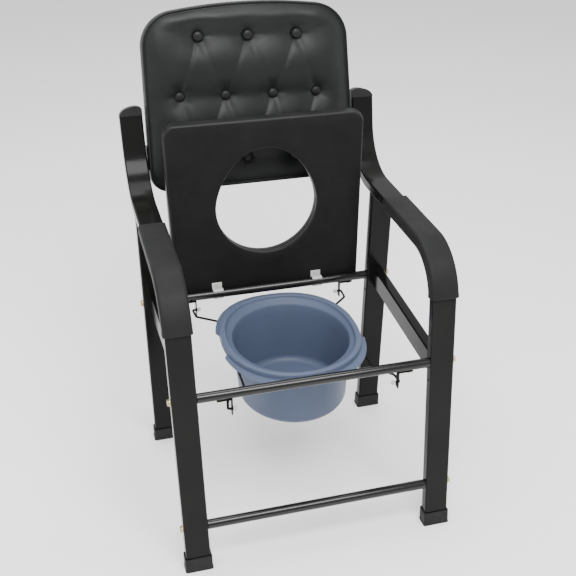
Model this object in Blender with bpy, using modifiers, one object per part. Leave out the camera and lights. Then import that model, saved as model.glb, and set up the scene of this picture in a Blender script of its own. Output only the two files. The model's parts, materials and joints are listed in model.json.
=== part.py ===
"""Commode chair: bent-tube side frames, tufted backrest, flip-up seat with an opening and a hung pail.

Metres, +Z up. The sitter faces -Y. Left and right are as seen from the front: left is -X, right is +X.
Every Y below is measured back from the front feet; one empty then centres the chair over the origin.
"""
from math import atan2, cos, pi, radians, sin, sqrt, tan

import bmesh
import bpy
from mathutils import Matrix, Vector

NAME = "commode_chair"
SIDES = (("left", -1), ("right", 1))

# overall frame
HALF_DEPTH = 0.3419
GAP = 0.0003
TUBE_WIDTH = 0.050
TUBE_DEPTH = 0.022
TUBE_CORNER = 0.0035
TUBE_WALL = 0.0015
LEG_X = 0.258
SPLAY = radians(0.52)

# side frame, as the line of its front and top faces
LEG_FOOT_Y = 0.0047
LEG_LEAN = radians(7.49)
ARM_TOP = 0.6085
ELBOW_RADIUS = 0.1125
BACK_BEND_RADIUS = 0.1175
BEND_STEPS = 11
POST_REACH_Y = 0.5884
POST_REACH_Z = 0.701
POST_TOP = 0.757
BACK_LEAN = radians(12.0)

# rear legs, side rails and cross tubes
REAR_FOOT_Y = 0.444
REAR_LEAN = radians(-0.82)
RAIL_HEIGHT = 0.046
RAIL_WIDTH = 0.022
RAIL_Z = 0.380
RAIL_X_FRONT = 0.2485
RAIL_X_REAR = 0.2605
BAR_RADIUS = 0.010
BAR_WALL = 0.0012
FRONT_BAR_Z = 0.381
LOWER_BAR_Z = 0.096
REAR_BAR_Z = 0.380
REAR_BAR_Y = 0.4495
BOLT_RADIUS = 0.0065
BOLT_HEIGHT = 0.0045
WASHER_RADIUS = 0.0078
WASHER_HEIGHT = 0.0012

# feet, arm pads and post caps
FOOT_WIDTH = 0.0556
FOOT_DEPTH = 0.0286
FOOT_HEIGHT = 0.030
FOOT_FLOOR = 0.003
FOOT_LIP = 0.0012
PAD_REAR_Y = 0.364
PAD_FRONT_Z = 0.520
PAD_TOP = 0.0058
PAD_SIDE = 0.0025
PAD_SKIRT = 0.020
CAP_HEIGHT = 0.021
CAP_CREST = -0.011
CAP_INNER_DROP = 0.008
CAP_STUB = 0.012

# seat, measured from the hinge line along the board
SEAT_LEAN = radians(2.0)
SEAT_STAND_OFF = 0.0125
SEAT_BOARD = 0.011
SEAT_CUSHION = 0.034
SEAT_TAIL = 0.010
SEAT_REACH = 0.393
SEAT_X = 0.0045
SEAT_HALF_TAIL = 0.214
SEAT_HALF_NOSE = 0.221
SEAT_CORNER = 0.025
SEAT_TAIL_CORNER = 0.012
HOLE_CENTRE = 0.197
HOLE_RADIUS = 0.1145
HOLE_NOSE = 0.133
HOLE_SHARPNESS = 1.65
CLIP_X = 0.1165
CLIP_SHIFT = 0.0044
CLIP_WIDTH = 0.0225
CLIP_REACH = 0.0215
CLIP_BORE = BAR_RADIUS + GAP
CLIP_OUTER = SEAT_STAND_OFF - GAP
CLIP_OPENING = (222.0, -42.0)
CLIP_SCREW_Y = 0.0165
CLIP_SCREW_RADIUS = 0.0032
CLIP_SCREW_HEIGHT = 0.0016

# backrest, measured from a point on its front border
BACKREST_Y = 0.5995
BACKREST_Z = 0.800
BACKREST_HALF = 0.2305
BACKREST_TAPER = 0.026
BACKREST_TOP = 0.180
BACKREST_CROWN = 0.027
BACKREST_CROWN_SWEEP = 0.140
BACKREST_BOTTOM = -0.209
BACKREST_CUSHION = 0.036
BACKREST_BOARD = 0.010
BACKREST_TOP_CORNER = 0.077
BACKREST_BOTTOM_CORNER = 0.038
BUTTON_RADIUS = 0.0105
BUTTON_HEIGHT = 0.005
BUTTON_TURN = radians(-1.8)
BUTTON_ROWS = ((0.1165, (-0.1105, -0.001, 0.1085)),
               (-0.010, (-0.157, -0.055, 0.052, 0.152)),
               (-0.149, (-0.120, -0.010, 0.100)))
BRACKET_S = -0.135
BRACKET_TALL = 0.050
BRACKET_STEEL = 0.0025
BRACKET_REACH = 0.048
BRACKET_FRONT = -0.014

# pail and its hanging rods
PAIL_X = 0.0045
PAIL_Y = 0.2755
PAIL_RIM_Z = 0.3665
PAIL_SHELF_Z = 0.3523
PAIL_BASE_Z = 0.2065
PAIL_WALL = 0.0025
PAIL_MOUTH = (0.1275, 0.1395)
PAIL_BASE = (0.1180, 0.1260)
PAIL_MOUTH_SHIFT = 0.002
PAIL_BASE_SHIFT = 0.006
PAIL_BASE_ROUND = 0.018
RIM_OUTER = (0.1485, 0.1655)
RIM_INNER = (0.1340, 0.1520)
RIM_SQUARENESS = 2.2
FLANGE_OUTER = (0.1560, 0.1860)
FLANGE_SQUARENESS = 2.35
FLANGE_THICK = 0.0027
FINGER_NOTCH = 0.086
ROD_RADIUS = 0.0026
ROD_Z = 0.3494
ROD_X = 0.135
ROD_SHIFT = 0.004
ROD_ELBOW = 0.0065
ROD_REAR_RUN = 0.070
ROD_FRONT_RUN = 0.056
ROD_BENDS = (0.0, 0.003, 0.012, 0.020, 0.020, 0.012, 0.003, 0.0)
ROD_CAP_RADIUS = 0.0045
ROD_CAP_LENGTH = 0.008
HANGER_X = 0.170
HANGER_SHIFT = 0.0015
HANGER_SCREW_X = 0.022
HANGER_HOLE_Z = 0.345
HANGER_WIDTH = 0.012
HANGER_STEEL = 0.002
HANGER_FOOT = 0.031
HANGER_BOTTOM = 0.332

# name: colour, roughness, metallic
FINISHES = {
    "black_enamel": ((0.012, 0.012, 0.013), 0.32, 0.0),
    "grey_pad": ((0.045, 0.045, 0.048), 0.62, 0.0),
    "black_vinyl": ((0.016, 0.016, 0.017), 0.45, 0.0),
    "black_rubber": ((0.020, 0.020, 0.020), 0.75, 0.0),
    "black_plastic": ((0.018, 0.018, 0.018), 0.40, 0.0),
    "blue_plastic": ((0.120, 0.155, 0.215), 0.42, 0.0),
    "white_plastic": ((0.72, 0.72, 0.69), 0.45, 0.0),
    "black_wire": ((0.015, 0.015, 0.015), 0.35, 0.0),
    "zinc": ((0.62, 0.52, 0.30), 0.35, 1.0),
    "plywood": ((0.10, 0.085, 0.07), 0.70, 0.0),
}


# ---------------------------------------------------------------- geometry helpers

def rounded(points, radii, closed=True, steps=6):
    """Points of a polyline, flat or in space, with its corners rounded to the given radii."""
    corners = [Vector(p) for p in points]
    if not isinstance(radii, (list, tuple)):
        radii = [radii] * len(corners)
    path = []
    last = len(corners) - 1
    for i, corner in enumerate(corners):
        if radii[i] == 0.0 or (not closed and i in (0, last)):
            path.append(corner)
            continue
        back = (corners[i - 1] - corner).normalized()
        ahead = (corners[(i + 1) % len(corners)] - corner).normalized()
        half = back.angle(ahead) / 2.0
        centre = corner + (back + ahead).normalized() * (radii[i] / sin(half))
        start = corner + back * (radii[i] / tan(half)) - centre
        end = corner + ahead * (radii[i] / tan(half)) - centre
        sweep = start.angle(end)
        for k in range(steps + 1):
            a = sweep * k / steps
            path.append(centre + (start * sin(sweep - a) + end * sin(a)) / sin(sweep))
    return path


def crossing(p, angle_p, q, angle_q):
    """Where two lines of the YZ plane cross; angles are measured from +Y towards +Z."""
    dp = Vector((cos(angle_p), sin(angle_p)))
    dq = Vector((cos(angle_q), sin(angle_q)))
    step = Vector(q) - Vector(p)
    return Vector(p) + dp * ((step.x * dq.y - step.y * dq.x) / (dp.x * dq.y - dp.y * dq.x))


def leg_front(z):
    """Y of the front leg's front face at height z."""
    return LEG_FOOT_Y + tan(LEG_LEAN) * z


def leg_back(z):
    return leg_front(z) + TUBE_DEPTH / cos(LEG_LEAN)


def rear_leg_front(z):
    return REAR_FOOT_Y + tan(REAR_LEAN) * z


def leg_inner_x(z):
    return LEG_X + sin(SPLAY) * z - TUBE_WIDTH / 2


def side_line(inset):
    """Corners of the side frame's line in (y, z), moved in from its front and top faces."""
    top = ARM_TOP - inset
    foot = (LEG_FOOT_Y + inset / cos(LEG_LEAN), 0.0)
    reach = (POST_REACH_Y + inset / cos(BACK_LEAN), POST_REACH_Z)
    leg_angle = pi / 2 - LEG_LEAN
    post_angle = pi / 2 - BACK_LEAN
    elbow = crossing(foot, leg_angle, (0.0, top), 0.0)
    bend = crossing((0.0, top), 0.0, reach, post_angle)
    post_top = Vector(reach) + Vector((tan(BACK_LEAN), 1.0)) * (POST_TOP - POST_REACH_Z)
    return Vector(foot), elbow, bend, post_top


# ---------------------------------------------------------------- object helpers

def finish(name):
    material = bpy.data.materials.get(name)
    if material is None:
        colour, roughness, metallic = FINISHES[name]
        material = bpy.data.materials.new(name)
        material.use_nodes = True
        shader = material.node_tree.nodes["Principled BSDF"]
        shader.inputs["Base Color"].default_value = (*colour, 1.0)
        shader.inputs["Roughness"].default_value = roughness
        shader.inputs["Metallic"].default_value = metallic
        material.diffuse_color = (*colour, 1.0)
    return material


def place(name, data, parent, material, location=(0.0, 0.0, 0.0), rotation=(0.0, 0.0, 0.0)):
    """A named object of the chair, at a place in its parent's frame."""
    obj = bpy.data.objects.new(name, data)
    obj.location = location
    obj.rotation_euler = rotation
    obj.parent = parent
    if not data.materials:
        data.materials.append(finish(material))
    PARTS.objects.link(obj)
    return obj


def empty(name, parent=None, location=(0.0, 0.0, 0.0), rotation=(0.0, 0.0, 0.0)):
    obj = bpy.data.objects.new(name, None)
    obj.location = location
    obj.rotation_euler = rotation
    obj.parent = parent
    obj.empty_display_size = 0.03
    PARTS.objects.link(obj)
    return obj


def poly_curve(name, outlines, closed, flat):
    """A curve of straight-segment splines, one for each list of points."""
    curve = bpy.data.curves.new(name, "CURVE")
    curve.dimensions = "2D" if flat else "3D"
    for points in outlines:
        spline = curve.splines.new("POLY")
        spline.points.add(len(points) - 1)
        for target, point in zip(spline.points, points):
            x, y = point[0], point[1]
            z = 0.0 if flat else point[2]
            target.co = (x, y, z, 1.0)
        spline.use_cyclic_u = closed
    return curve


def as_mesh(curve, name):
    """The curve's surface as a mesh, with the caps joined to the walls."""
    holder = bpy.data.objects.new(name, curve)
    CUTTERS.objects.link(holder)
    graph = bpy.context.evaluated_depsgraph_get()
    mesh = bpy.data.meshes.new_from_object(holder.evaluated_get(graph))
    mesh.name = name
    bm = bmesh.new()
    bm.from_mesh(mesh)
    bmesh.ops.remove_doubles(bm, verts=bm.verts, dist=0.00002)
    bmesh.ops.recalc_face_normals(bm, faces=bm.faces)
    bm.to_mesh(mesh)
    bm.free()
    bpy.data.objects.remove(holder)
    bpy.data.curves.remove(curve)
    return mesh


def slab(name, outlines, thickness):
    """A flat outline, with any holes, from z = 0 up to its thickness."""
    curve = poly_curve(name, outlines, closed=True, flat=True)
    curve.fill_mode = "BOTH"
    curve.extrude = thickness / 2
    mesh = as_mesh(curve, name)
    mesh.transform(Matrix.Translation((0.0, 0.0, thickness / 2)))
    return mesh


def swept(name, path, section, caps):
    """A section, drawn as (across, outward), carried along a path of the YZ plane."""
    rail = poly_curve(name, [path], closed=False, flat=False)
    rail.twist_mode = "MINIMUM"
    profile = bpy.data.objects.new(name + "_section", poly_curve(name, [section], closed=True, flat=True))
    CUTTERS.objects.link(profile)
    rail.bevel_mode = "OBJECT"
    rail.bevel_object = profile
    rail.use_fill_caps = caps
    mesh = as_mesh(rail, name)
    bpy.data.curves.remove(profile.data)
    return mesh


def round_bar(name, path, radius, resolution, caps=True):
    curve = poly_curve(name, [path], closed=False, flat=False)
    curve.bevel_depth = radius
    curve.bevel_resolution = resolution
    curve.use_fill_caps = caps
    mesh = as_mesh(curve, name)
    smooth(mesh)
    return mesh


def smooth(mesh, angle=40.0):
    mesh.shade_smooth()
    mesh.set_sharp_from_angle(angle=radians(angle))


def hollow(obj, wall):
    """Turns an open tube surface into a tube with a wall inside it."""
    modifier = obj.modifiers.new("wall", "SOLIDIFY")
    modifier.thickness = wall
    modifier.offset = -1.0


def bevel(obj, width, segments):
    modifier = obj.modifiers.new("rounded_edges", "BEVEL")
    modifier.width = width
    modifier.segments = segments
    modifier.limit_method = "ANGLE"
    modifier.angle_limit = radians(40.0)


def cylinder(name, radius, height, sides, axis="Z"):
    """A cylinder centred on its own origin."""
    mesh = bpy.data.meshes.new(name)
    bm = bmesh.new()
    bmesh.ops.create_cone(bm, cap_ends=True, segments=sides, radius1=radius, radius2=radius, depth=height)
    if axis == "X":
        bmesh.ops.rotate(bm, verts=bm.verts, matrix=Matrix.Rotation(pi / 2, 3, "Y"))
    if axis == "Y":
        bmesh.ops.rotate(bm, verts=bm.verts, matrix=Matrix.Rotation(pi / 2, 3, "X"))
    bm.to_mesh(mesh)
    bm.free()
    return mesh


def box(name, low, high):
    mesh = bpy.data.meshes.new(name)
    bm = bmesh.new()
    size = Vector(high) - Vector(low)
    bmesh.ops.create_cube(bm, size=1.0)
    bmesh.ops.scale(bm, verts=bm.verts, vec=size)
    bmesh.ops.translate(bm, verts=bm.verts, vec=(Vector(high) + Vector(low)) / 2)
    bm.to_mesh(mesh)
    bm.free()
    return mesh


def combine(obj, mesh, operation, location=(0.0, 0.0, 0.0)):
    """Joins a hidden helper shape to an object, or cuts it away, in the object's own frame."""
    helper = bpy.data.objects.new(obj.name + "_" + operation.lower(), mesh)
    helper.parent = obj
    helper.location = location
    helper.hide_render = True
    helper.display_type = "WIRE"
    CUTTERS.objects.link(helper)
    modifier = obj.modifiers.new(operation.lower(), "BOOLEAN")
    modifier.operation = operation
    modifier.object = helper
    modifier.solver = "EXACT"


def turned(obj, steps):
    """Turns a profile in the XZ plane about Z."""
    modifier = obj.modifiers.new("turned", "SCREW")
    modifier.steps = steps
    modifier.render_steps = steps
    modifier.use_merge_vertices = True
    modifier.merge_threshold = 0.00005
    modifier.use_smooth_shade = True


def profile_mesh(name, points):
    """A line of edges in the XZ plane, from one point on the axis to another."""
    mesh = bpy.data.meshes.new(name)
    edges = [(i, i + 1) for i in range(len(points) - 1)]
    mesh.from_pydata([(r, 0.0, z) for r, z in points], edges, [])
    return mesh


def rectangle(half_x, half_y):
    return [(half_x, -half_y), (half_x, half_y), (-half_x, half_y), (-half_x, -half_y)]


def arc(centre, radius, start, end, steps):
    """Points along an arc, angles in degrees."""
    angles = [radians(start + (end - start) * k / steps) for k in range(steps + 1)]
    return [Vector((centre[0] + radius * cos(a), centre[1] + radius * sin(a))) for a in angles]


# ---------------------------------------------------------------- side frames and feet

def tube_section():
    return rounded(rectangle(TUBE_WIDTH / 2, TUBE_DEPTH / 2), TUBE_CORNER, steps=3)


def build_side(side, sign, origin):
    """One side of the frame: bent tube, rear leg, feet, rail, pad and post cap."""
    stand = empty("stand_" + side, origin, (sign * LEG_X, 0.0, 0.0), (0.0, sign * SPLAY, 0.0))
    build_side_frame(side, stand)
    build_rear_leg(side, stand)
    build_arm_pad(side, stand)
    build_post_cap(side, sign, stand)
    build_rail(side, sign, origin)
    build_foot("foot_front_" + side, sign, origin, leg_front, leg_back)
    build_foot("foot_rear_" + side, sign, origin, rear_leg_front,
               lambda z: rear_leg_front(z) + TUBE_DEPTH)


def build_side_frame(side, stand):
    foot, elbow, bend, post_top = side_line(TUBE_DEPTH / 2)
    lift = FOOT_FLOOR + 2 * GAP + sin(LEG_LEAN) * TUBE_DEPTH / 2
    foot += Vector((tan(LEG_LEAN), 1.0)) * lift
    radii = [0.0, ELBOW_RADIUS - TUBE_DEPTH / 2, BACK_BEND_RADIUS + TUBE_DEPTH / 2, 0.0]
    line = rounded([foot, elbow, bend, post_top], radii, closed=False, steps=BEND_STEPS)
    mesh = swept("side_frame", [(0.0, p.x, p.y) for p in line], tube_section(), caps=False)
    smooth(mesh)
    obj = place("side_frame_" + side, mesh, stand, "black_enamel")
    hollow(obj, TUBE_WALL)


def build_rear_leg(side, stand):
    low = FOOT_FLOOR + 2 * GAP
    high = ARM_TOP - TUBE_DEPTH - 2 * GAP
    middle = TUBE_DEPTH / 2
    path = [(0.0, rear_leg_front(z) + middle, z) for z in (low, high)]
    mesh = swept("rear_leg", path, tube_section(), caps=False)
    smooth(mesh)
    obj = place("rear_leg_" + side, mesh, stand, "black_enamel")
    hollow(obj, TUBE_WALL)


def build_rail(side, sign, origin):
    """A flat rail from the front leg's back face to the rear leg's front face, cut to fit both."""
    section = rounded(rectangle(RAIL_WIDTH / 2, RAIL_HEIGHT / 2), TUBE_CORNER, steps=3)
    ends = ((RAIL_X_FRONT, leg_back(RAIL_Z)), (RAIL_X_REAR, rear_leg_front(RAIL_Z)))
    path = [(sign * x, y, RAIL_Z) for x, y in ends]
    mesh = swept("side_rail_" + side, path, section, caps=False)
    middle = sum(y for _, y in ends) / 2
    for vertex in mesh.vertices:
        if vertex.co.y < middle:
            vertex.co.y = leg_back(vertex.co.z) + 2 * GAP
        else:
            vertex.co.y = rear_leg_front(vertex.co.z) - 2 * GAP
    smooth(mesh)
    obj = place("side_rail_" + side, mesh, origin, "black_enamel")
    hollow(obj, TUBE_WALL)


def build_foot(name, sign, origin, front, back):
    """A rubber foot with a turned-out lip, pushed over the end of a leg and flat on the floor."""
    wall = (FOOT_WIDTH - TUBE_WIDTH) / 2
    levels = ((0.0, FOOT_LIP), (0.002, FOOT_LIP), (0.006, 0.0), (FOOT_HEIGHT - 0.001, 0.0),
              (FOOT_HEIGHT, -0.001), (FOOT_HEIGHT, GAP + 0.0002 - wall), (FOOT_FLOOR, GAP + 0.0002 - wall))
    bm = bmesh.new()
    rings = []
    for z, grow in levels:
        half_x = FOOT_WIDTH / 2 + grow
        half_y = FOOT_DEPTH / 2 + grow
        middle = (front(z) + back(z)) / 2
        outline = rounded(rectangle(half_x, half_y), TUBE_CORNER + max(grow, -0.0015), steps=3)
        shift = sign * sin(SPLAY) * z
        rings.append([bm.verts.new((p.x + shift, p.y + middle, z)) for p in outline])
    for low, high in zip(rings, rings[1:]):
        for i in range(len(low)):
            j = (i + 1) % len(low)
            bm.faces.new((low[i], low[j], high[j], high[i]))
    bm.faces.new(list(reversed(rings[0])))
    bm.faces.new(rings[-1])
    bmesh.ops.recalc_face_normals(bm, faces=bm.faces)
    mesh = bpy.data.meshes.new(name)
    bm.to_mesh(mesh)
    bm.free()
    smooth(mesh, 30.0)
    place(name, mesh, origin, "black_rubber", (sign * LEG_X, 0.0, 0.0))


def build_arm_pad(side, stand):
    """A soft pad that wraps over the arm, round the elbow and part of the way down the leg."""
    foot, elbow, bend, _ = side_line(0.0)
    line = rounded([foot, elbow, Vector((PAD_REAR_Y, bend.y))], [0.0, ELBOW_RADIUS, 0.0],
                   closed=False, steps=BEND_STEPS)
    while line[1].y < PAD_FRONT_Z:
        line.pop(0)
    line[0] = line[0].lerp(line[1], (PAD_FRONT_Z - line[0].y) / (line[1].y - line[0].y))
    inner = TUBE_WIDTH / 2 + 2 * GAP
    outer = TUBE_WIDTH / 2 + PAD_SIDE + 2 * GAP
    edge = 0.0045
    arch = rounded([(outer, -PAD_SKIRT), (outer, PAD_TOP), (-outer, PAD_TOP), (-outer, -PAD_SKIRT)],
                   [0.0, edge, edge, 0.0], steps=3)
    under = [(-inner, -PAD_SKIRT), (-inner, 2 * GAP), (inner, 2 * GAP), (inner, -PAD_SKIRT)]
    mesh = swept("arm_pad", [(0.0, p.x, p.y) for p in line], [tuple(p) for p in arch] + under, caps=True)
    smooth(mesh)
    place("arm_pad_" + side, mesh, stand, "grey_pad")


def build_post_cap(side, sign, stand):
    """A domed plug, high on its inner side, with a stub inside the post."""
    *_, post_top = side_line(TUBE_DEPTH / 2)
    half = TUBE_WIDTH / 2
    turns = [pi / 2 * k / 8 for k in range(9)]
    outer = [(CAP_CREST + (half - CAP_CREST) * cos(a), CAP_HEIGHT * sin(a)) for a in turns]
    inner = [(CAP_CREST - (half + CAP_CREST) * sin(a), CAP_HEIGHT - CAP_INNER_DROP * (1.0 - cos(a)))
             for a in turns[2::2]]
    outline = outer + inner + [(-half, 0.0)]
    mesh = slab("post_cap_" + side, [[(sign * x, y) for x, y in outline]], TUBE_DEPTH)
    mesh.transform(Matrix.Translation((0.0, 0.0, -TUBE_DEPTH / 2)))
    mesh.transform(Matrix.Rotation(pi / 2, 4, "X"))
    obj = place("post_cap_" + side, mesh, stand, "black_plastic",
                (0.0, post_top.x + sin(BACK_LEAN) * 2 * GAP, post_top.y + cos(BACK_LEAN) * 2 * GAP),
                (-BACK_LEAN, 0.0, 0.0))
    bevel(obj, 0.003, 2)
    slack = TUBE_WALL + 0.0010
    stub = box("post_cap_stub", (slack - half, slack - TUBE_DEPTH / 2, -CAP_STUB),
               (half - slack, TUBE_DEPTH / 2 - slack, 0.004))
    combine(obj, stub, "UNION")


# ---------------------------------------------------------------- cross tubes and their bolts

def build_cross_bar(name, y, z, origin):
    half = leg_inner_x(z) - 2 * GAP
    mesh = round_bar(name, [(-half, 0.0, 0.0), (half, 0.0, 0.0)], BAR_RADIUS, 6, caps=False)
    obj = place(name, mesh, origin, "black_enamel", (0.0, y, z))
    hollow(obj, BAR_WALL)


def bolt_mesh():
    """A hexagon head on +X, standing on a washer face at x = 0."""
    mesh = cylinder("bolt_head", BOLT_RADIUS, BOLT_HEIGHT, 6, "X")
    mesh.transform(Matrix.Translation((BOLT_HEIGHT / 2, 0.0, 0.0)))
    return mesh


def build_bolts(bars, origin):
    head = bolt_mesh()
    washer = cylinder("bolt_washer", WASHER_RADIUS, WASHER_HEIGHT, 20, "X")
    for label, y, z in bars:
        for side, sign in SIDES:
            x = sign * (leg_inner_x(z) + TUBE_WIDTH + WASHER_HEIGHT)
            turn = (0.0, 0.0, 0.0 if sign > 0 else pi)
            obj = place(f"bolt_{label}_{side}", head, origin, "zinc", (x, y, z), turn)
            combine(obj, washer, "UNION")


# ---------------------------------------------------------------- seat

def seat_outline():
    corners = [(SEAT_HALF_TAIL, -SEAT_TAIL), (SEAT_HALF_NOSE, SEAT_REACH),
               (-SEAT_HALF_NOSE, SEAT_REACH), (-SEAT_HALF_TAIL, -SEAT_TAIL)]
    return rounded(corners, [SEAT_TAIL_CORNER, SEAT_CORNER, SEAT_CORNER, SEAT_TAIL_CORNER], steps=5)


def hole_outline(count=36):
    """An egg: a half circle towards the hinge and a longer, narrower end towards the nose."""
    points = []
    for k in range(count):
        a = 2 * pi * k / count
        if sin(a) <= 0.0:
            points.append((HOLE_RADIUS * cos(a), HOLE_CENTRE + HOLE_RADIUS * sin(a)))
        else:
            rise = sin(a)
            half = HOLE_RADIUS * sqrt(1.0 - rise ** HOLE_SHARPNESS)
            points.append((half if cos(a) > 0.0 else -half, HOLE_CENTRE + HOLE_NOSE * rise))
    return points


def clip_outline():
    """A springy C that grips the bar, with a foot along the seat board's underside."""
    foot_low = CLIP_BORE
    meet = atan2(foot_low, sqrt(CLIP_OUTER ** 2 - foot_low ** 2)) * 180.0 / pi
    tip = [Vector((CLIP_REACH, foot_low)), Vector((CLIP_REACH, CLIP_OUTER))]
    opening_end, opening_start = CLIP_OPENING
    far_side = arc((0.0, 0.0), CLIP_OUTER, 90.0, opening_end, 8)
    bore = arc((0.0, 0.0), CLIP_BORE, opening_end, opening_start, 16)
    near_side = arc((0.0, 0.0), CLIP_OUTER, opening_start, meet, 6)
    return tip + far_side + bore + near_side


def build_seat(origin):
    hinge = empty("seat_hinge", origin, (SEAT_X, REAR_BAR_Y, REAR_BAR_Z), (pi / 2 + SEAT_LEAN, 0.0, pi))
    board = slab("seat_board", [seat_outline(), hole_outline()], SEAT_BOARD)
    place("seat_board", board, hinge, "plywood", (0.0, 0.0, SEAT_STAND_OFF))
    cushion = slab("seat_cushion", [seat_outline(), hole_outline()], SEAT_CUSHION)
    place("seat_cushion", cushion, hinge, "black_vinyl", (0.0, 0.0, SEAT_STAND_OFF + SEAT_BOARD + GAP))

    clip = slab("hinge_clip", [clip_outline()], CLIP_WIDTH)
    clip.transform(Matrix(((0, 0, 1, -CLIP_WIDTH / 2), (1, 0, 0, 0), (0, 1, 0, 0), (0, 0, 0, 1))))
    screw = cylinder("clip_screw", CLIP_SCREW_RADIUS, CLIP_SCREW_HEIGHT, 14)
    for side, sign in SIDES:
        place("hinge_clip_" + side, clip, hinge, "white_plastic", (CLIP_SHIFT - sign * CLIP_X, 0.0, 0.0))
        place("clip_screw_" + side, screw, hinge, "zinc",
              (CLIP_SHIFT - sign * CLIP_X, CLIP_SCREW_Y, CLIP_BORE - CLIP_SCREW_HEIGHT / 2 - GAP))


# ---------------------------------------------------------------- backrest

def backrest_outline():
    low = BACKREST_BOTTOM
    shoulder = BACKREST_TOP - BACKREST_CROWN / 2
    peak = BACKREST_TOP + BACKREST_CROWN / 2
    half_low = BACKREST_HALF - BACKREST_TAPER * low
    half_high = BACKREST_HALF - BACKREST_TAPER * shoulder
    corners = [(half_low, low), (half_high, shoulder), (0.0, peak), (-half_high, shoulder), (-half_low, low)]
    crown_radius = BACKREST_CROWN_SWEEP / tan(atan2(peak - shoulder, half_high))
    radii = [BACKREST_BOTTOM_CORNER, BACKREST_TOP_CORNER, crown_radius,
             BACKREST_TOP_CORNER, BACKREST_BOTTOM_CORNER]
    return rounded(corners, radii, steps=7)


def button_mesh():
    """A covered button: a low dome, flat at z = 0."""
    mesh = bpy.data.meshes.new("backrest_button")
    bm = bmesh.new()
    bmesh.ops.create_uvsphere(bm, u_segments=14, v_segments=6, radius=1.0)
    bmesh.ops.bisect_plane(bm, geom=bm.verts[:] + bm.edges[:] + bm.faces[:], plane_co=(0.0, 0.0, 0.0),
                           plane_no=(0.0, 0.0, -1.0), clear_outer=True)
    bmesh.ops.holes_fill(bm, edges=bm.edges)
    bmesh.ops.scale(bm, verts=bm.verts, vec=(BUTTON_RADIUS, BUTTON_RADIUS, BUTTON_HEIGHT))
    bmesh.ops.recalc_face_normals(bm, faces=bm.faces)
    bm.to_mesh(mesh)
    bm.free()
    smooth(mesh)
    return mesh


def build_backrest(origin):
    plane = empty("backrest_plane", origin, (0.0, BACKREST_Y, BACKREST_Z), (pi / 2 - BACK_LEAN, 0.0, 0.0))
    cushion = slab("backrest_cushion", [backrest_outline()], BACKREST_CUSHION)
    place("backrest_cushion", cushion, plane, "black_vinyl", (0.0, 0.0, -BACKREST_CUSHION))
    back = -BACKREST_CUSHION - GAP - BACKREST_BOARD
    board = slab("backrest_board", [backrest_outline()], BACKREST_BOARD)
    place("backrest_board", board, plane, "black_vinyl", (0.0, 0.0, back))

    button = button_mesh()
    for row, (s, places) in enumerate(BUTTON_ROWS, start=1):
        for column, x in enumerate(places, start=1):
            spot = Matrix.Rotation(BUTTON_TURN, 2) @ Vector((x, s))
            place(f"backrest_button_{row}_{column}", button, plane, "black_vinyl", (*spot, GAP))

    for side, sign in SIDES:
        build_bracket(side, sign, plane, back)


def build_bracket(side, sign, plane, back):
    """An angle of flat steel from the post's inner face round to the back of the board."""
    post_face = leg_inner_x(BACKREST_Z + BRACKET_S) - 0.0008
    inner = post_face - BRACKET_STEEL
    rear = back - GAP - BRACKET_STEEL
    end = inner - BRACKET_REACH
    outline = [(post_face, rear), (post_face, BRACKET_FRONT), (inner, BRACKET_FRONT),
               (inner, rear + BRACKET_STEEL), (end, rear + BRACKET_STEEL), (end, rear)]
    mesh = slab("backrest_bracket_" + side, [[(sign * x, y) for x, y in outline]], BRACKET_TALL)
    mesh.transform(Matrix(((1, 0, 0, 0), (0, 0, 1, BRACKET_S - BRACKET_TALL / 2), (0, 1, 0, 0), (0, 0, 0, 1))))
    mesh.flip_normals()
    place("backrest_bracket_" + side, mesh, plane, "black_enamel")


# ---------------------------------------------------------------- pail

def oval(half_x, half_y, squareness, count=48):
    """A superellipse: 2 gives an ellipse, and more gives squarer shoulders."""
    points = []
    for k in range(count):
        c, s = cos(2 * pi * k / count), sin(2 * pi * k / count)
        reach = (abs(c / half_x) ** squareness + abs(s / half_y) ** squareness) ** (-1.0 / squareness)
        points.append((reach * c, reach * s))
    return points


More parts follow.
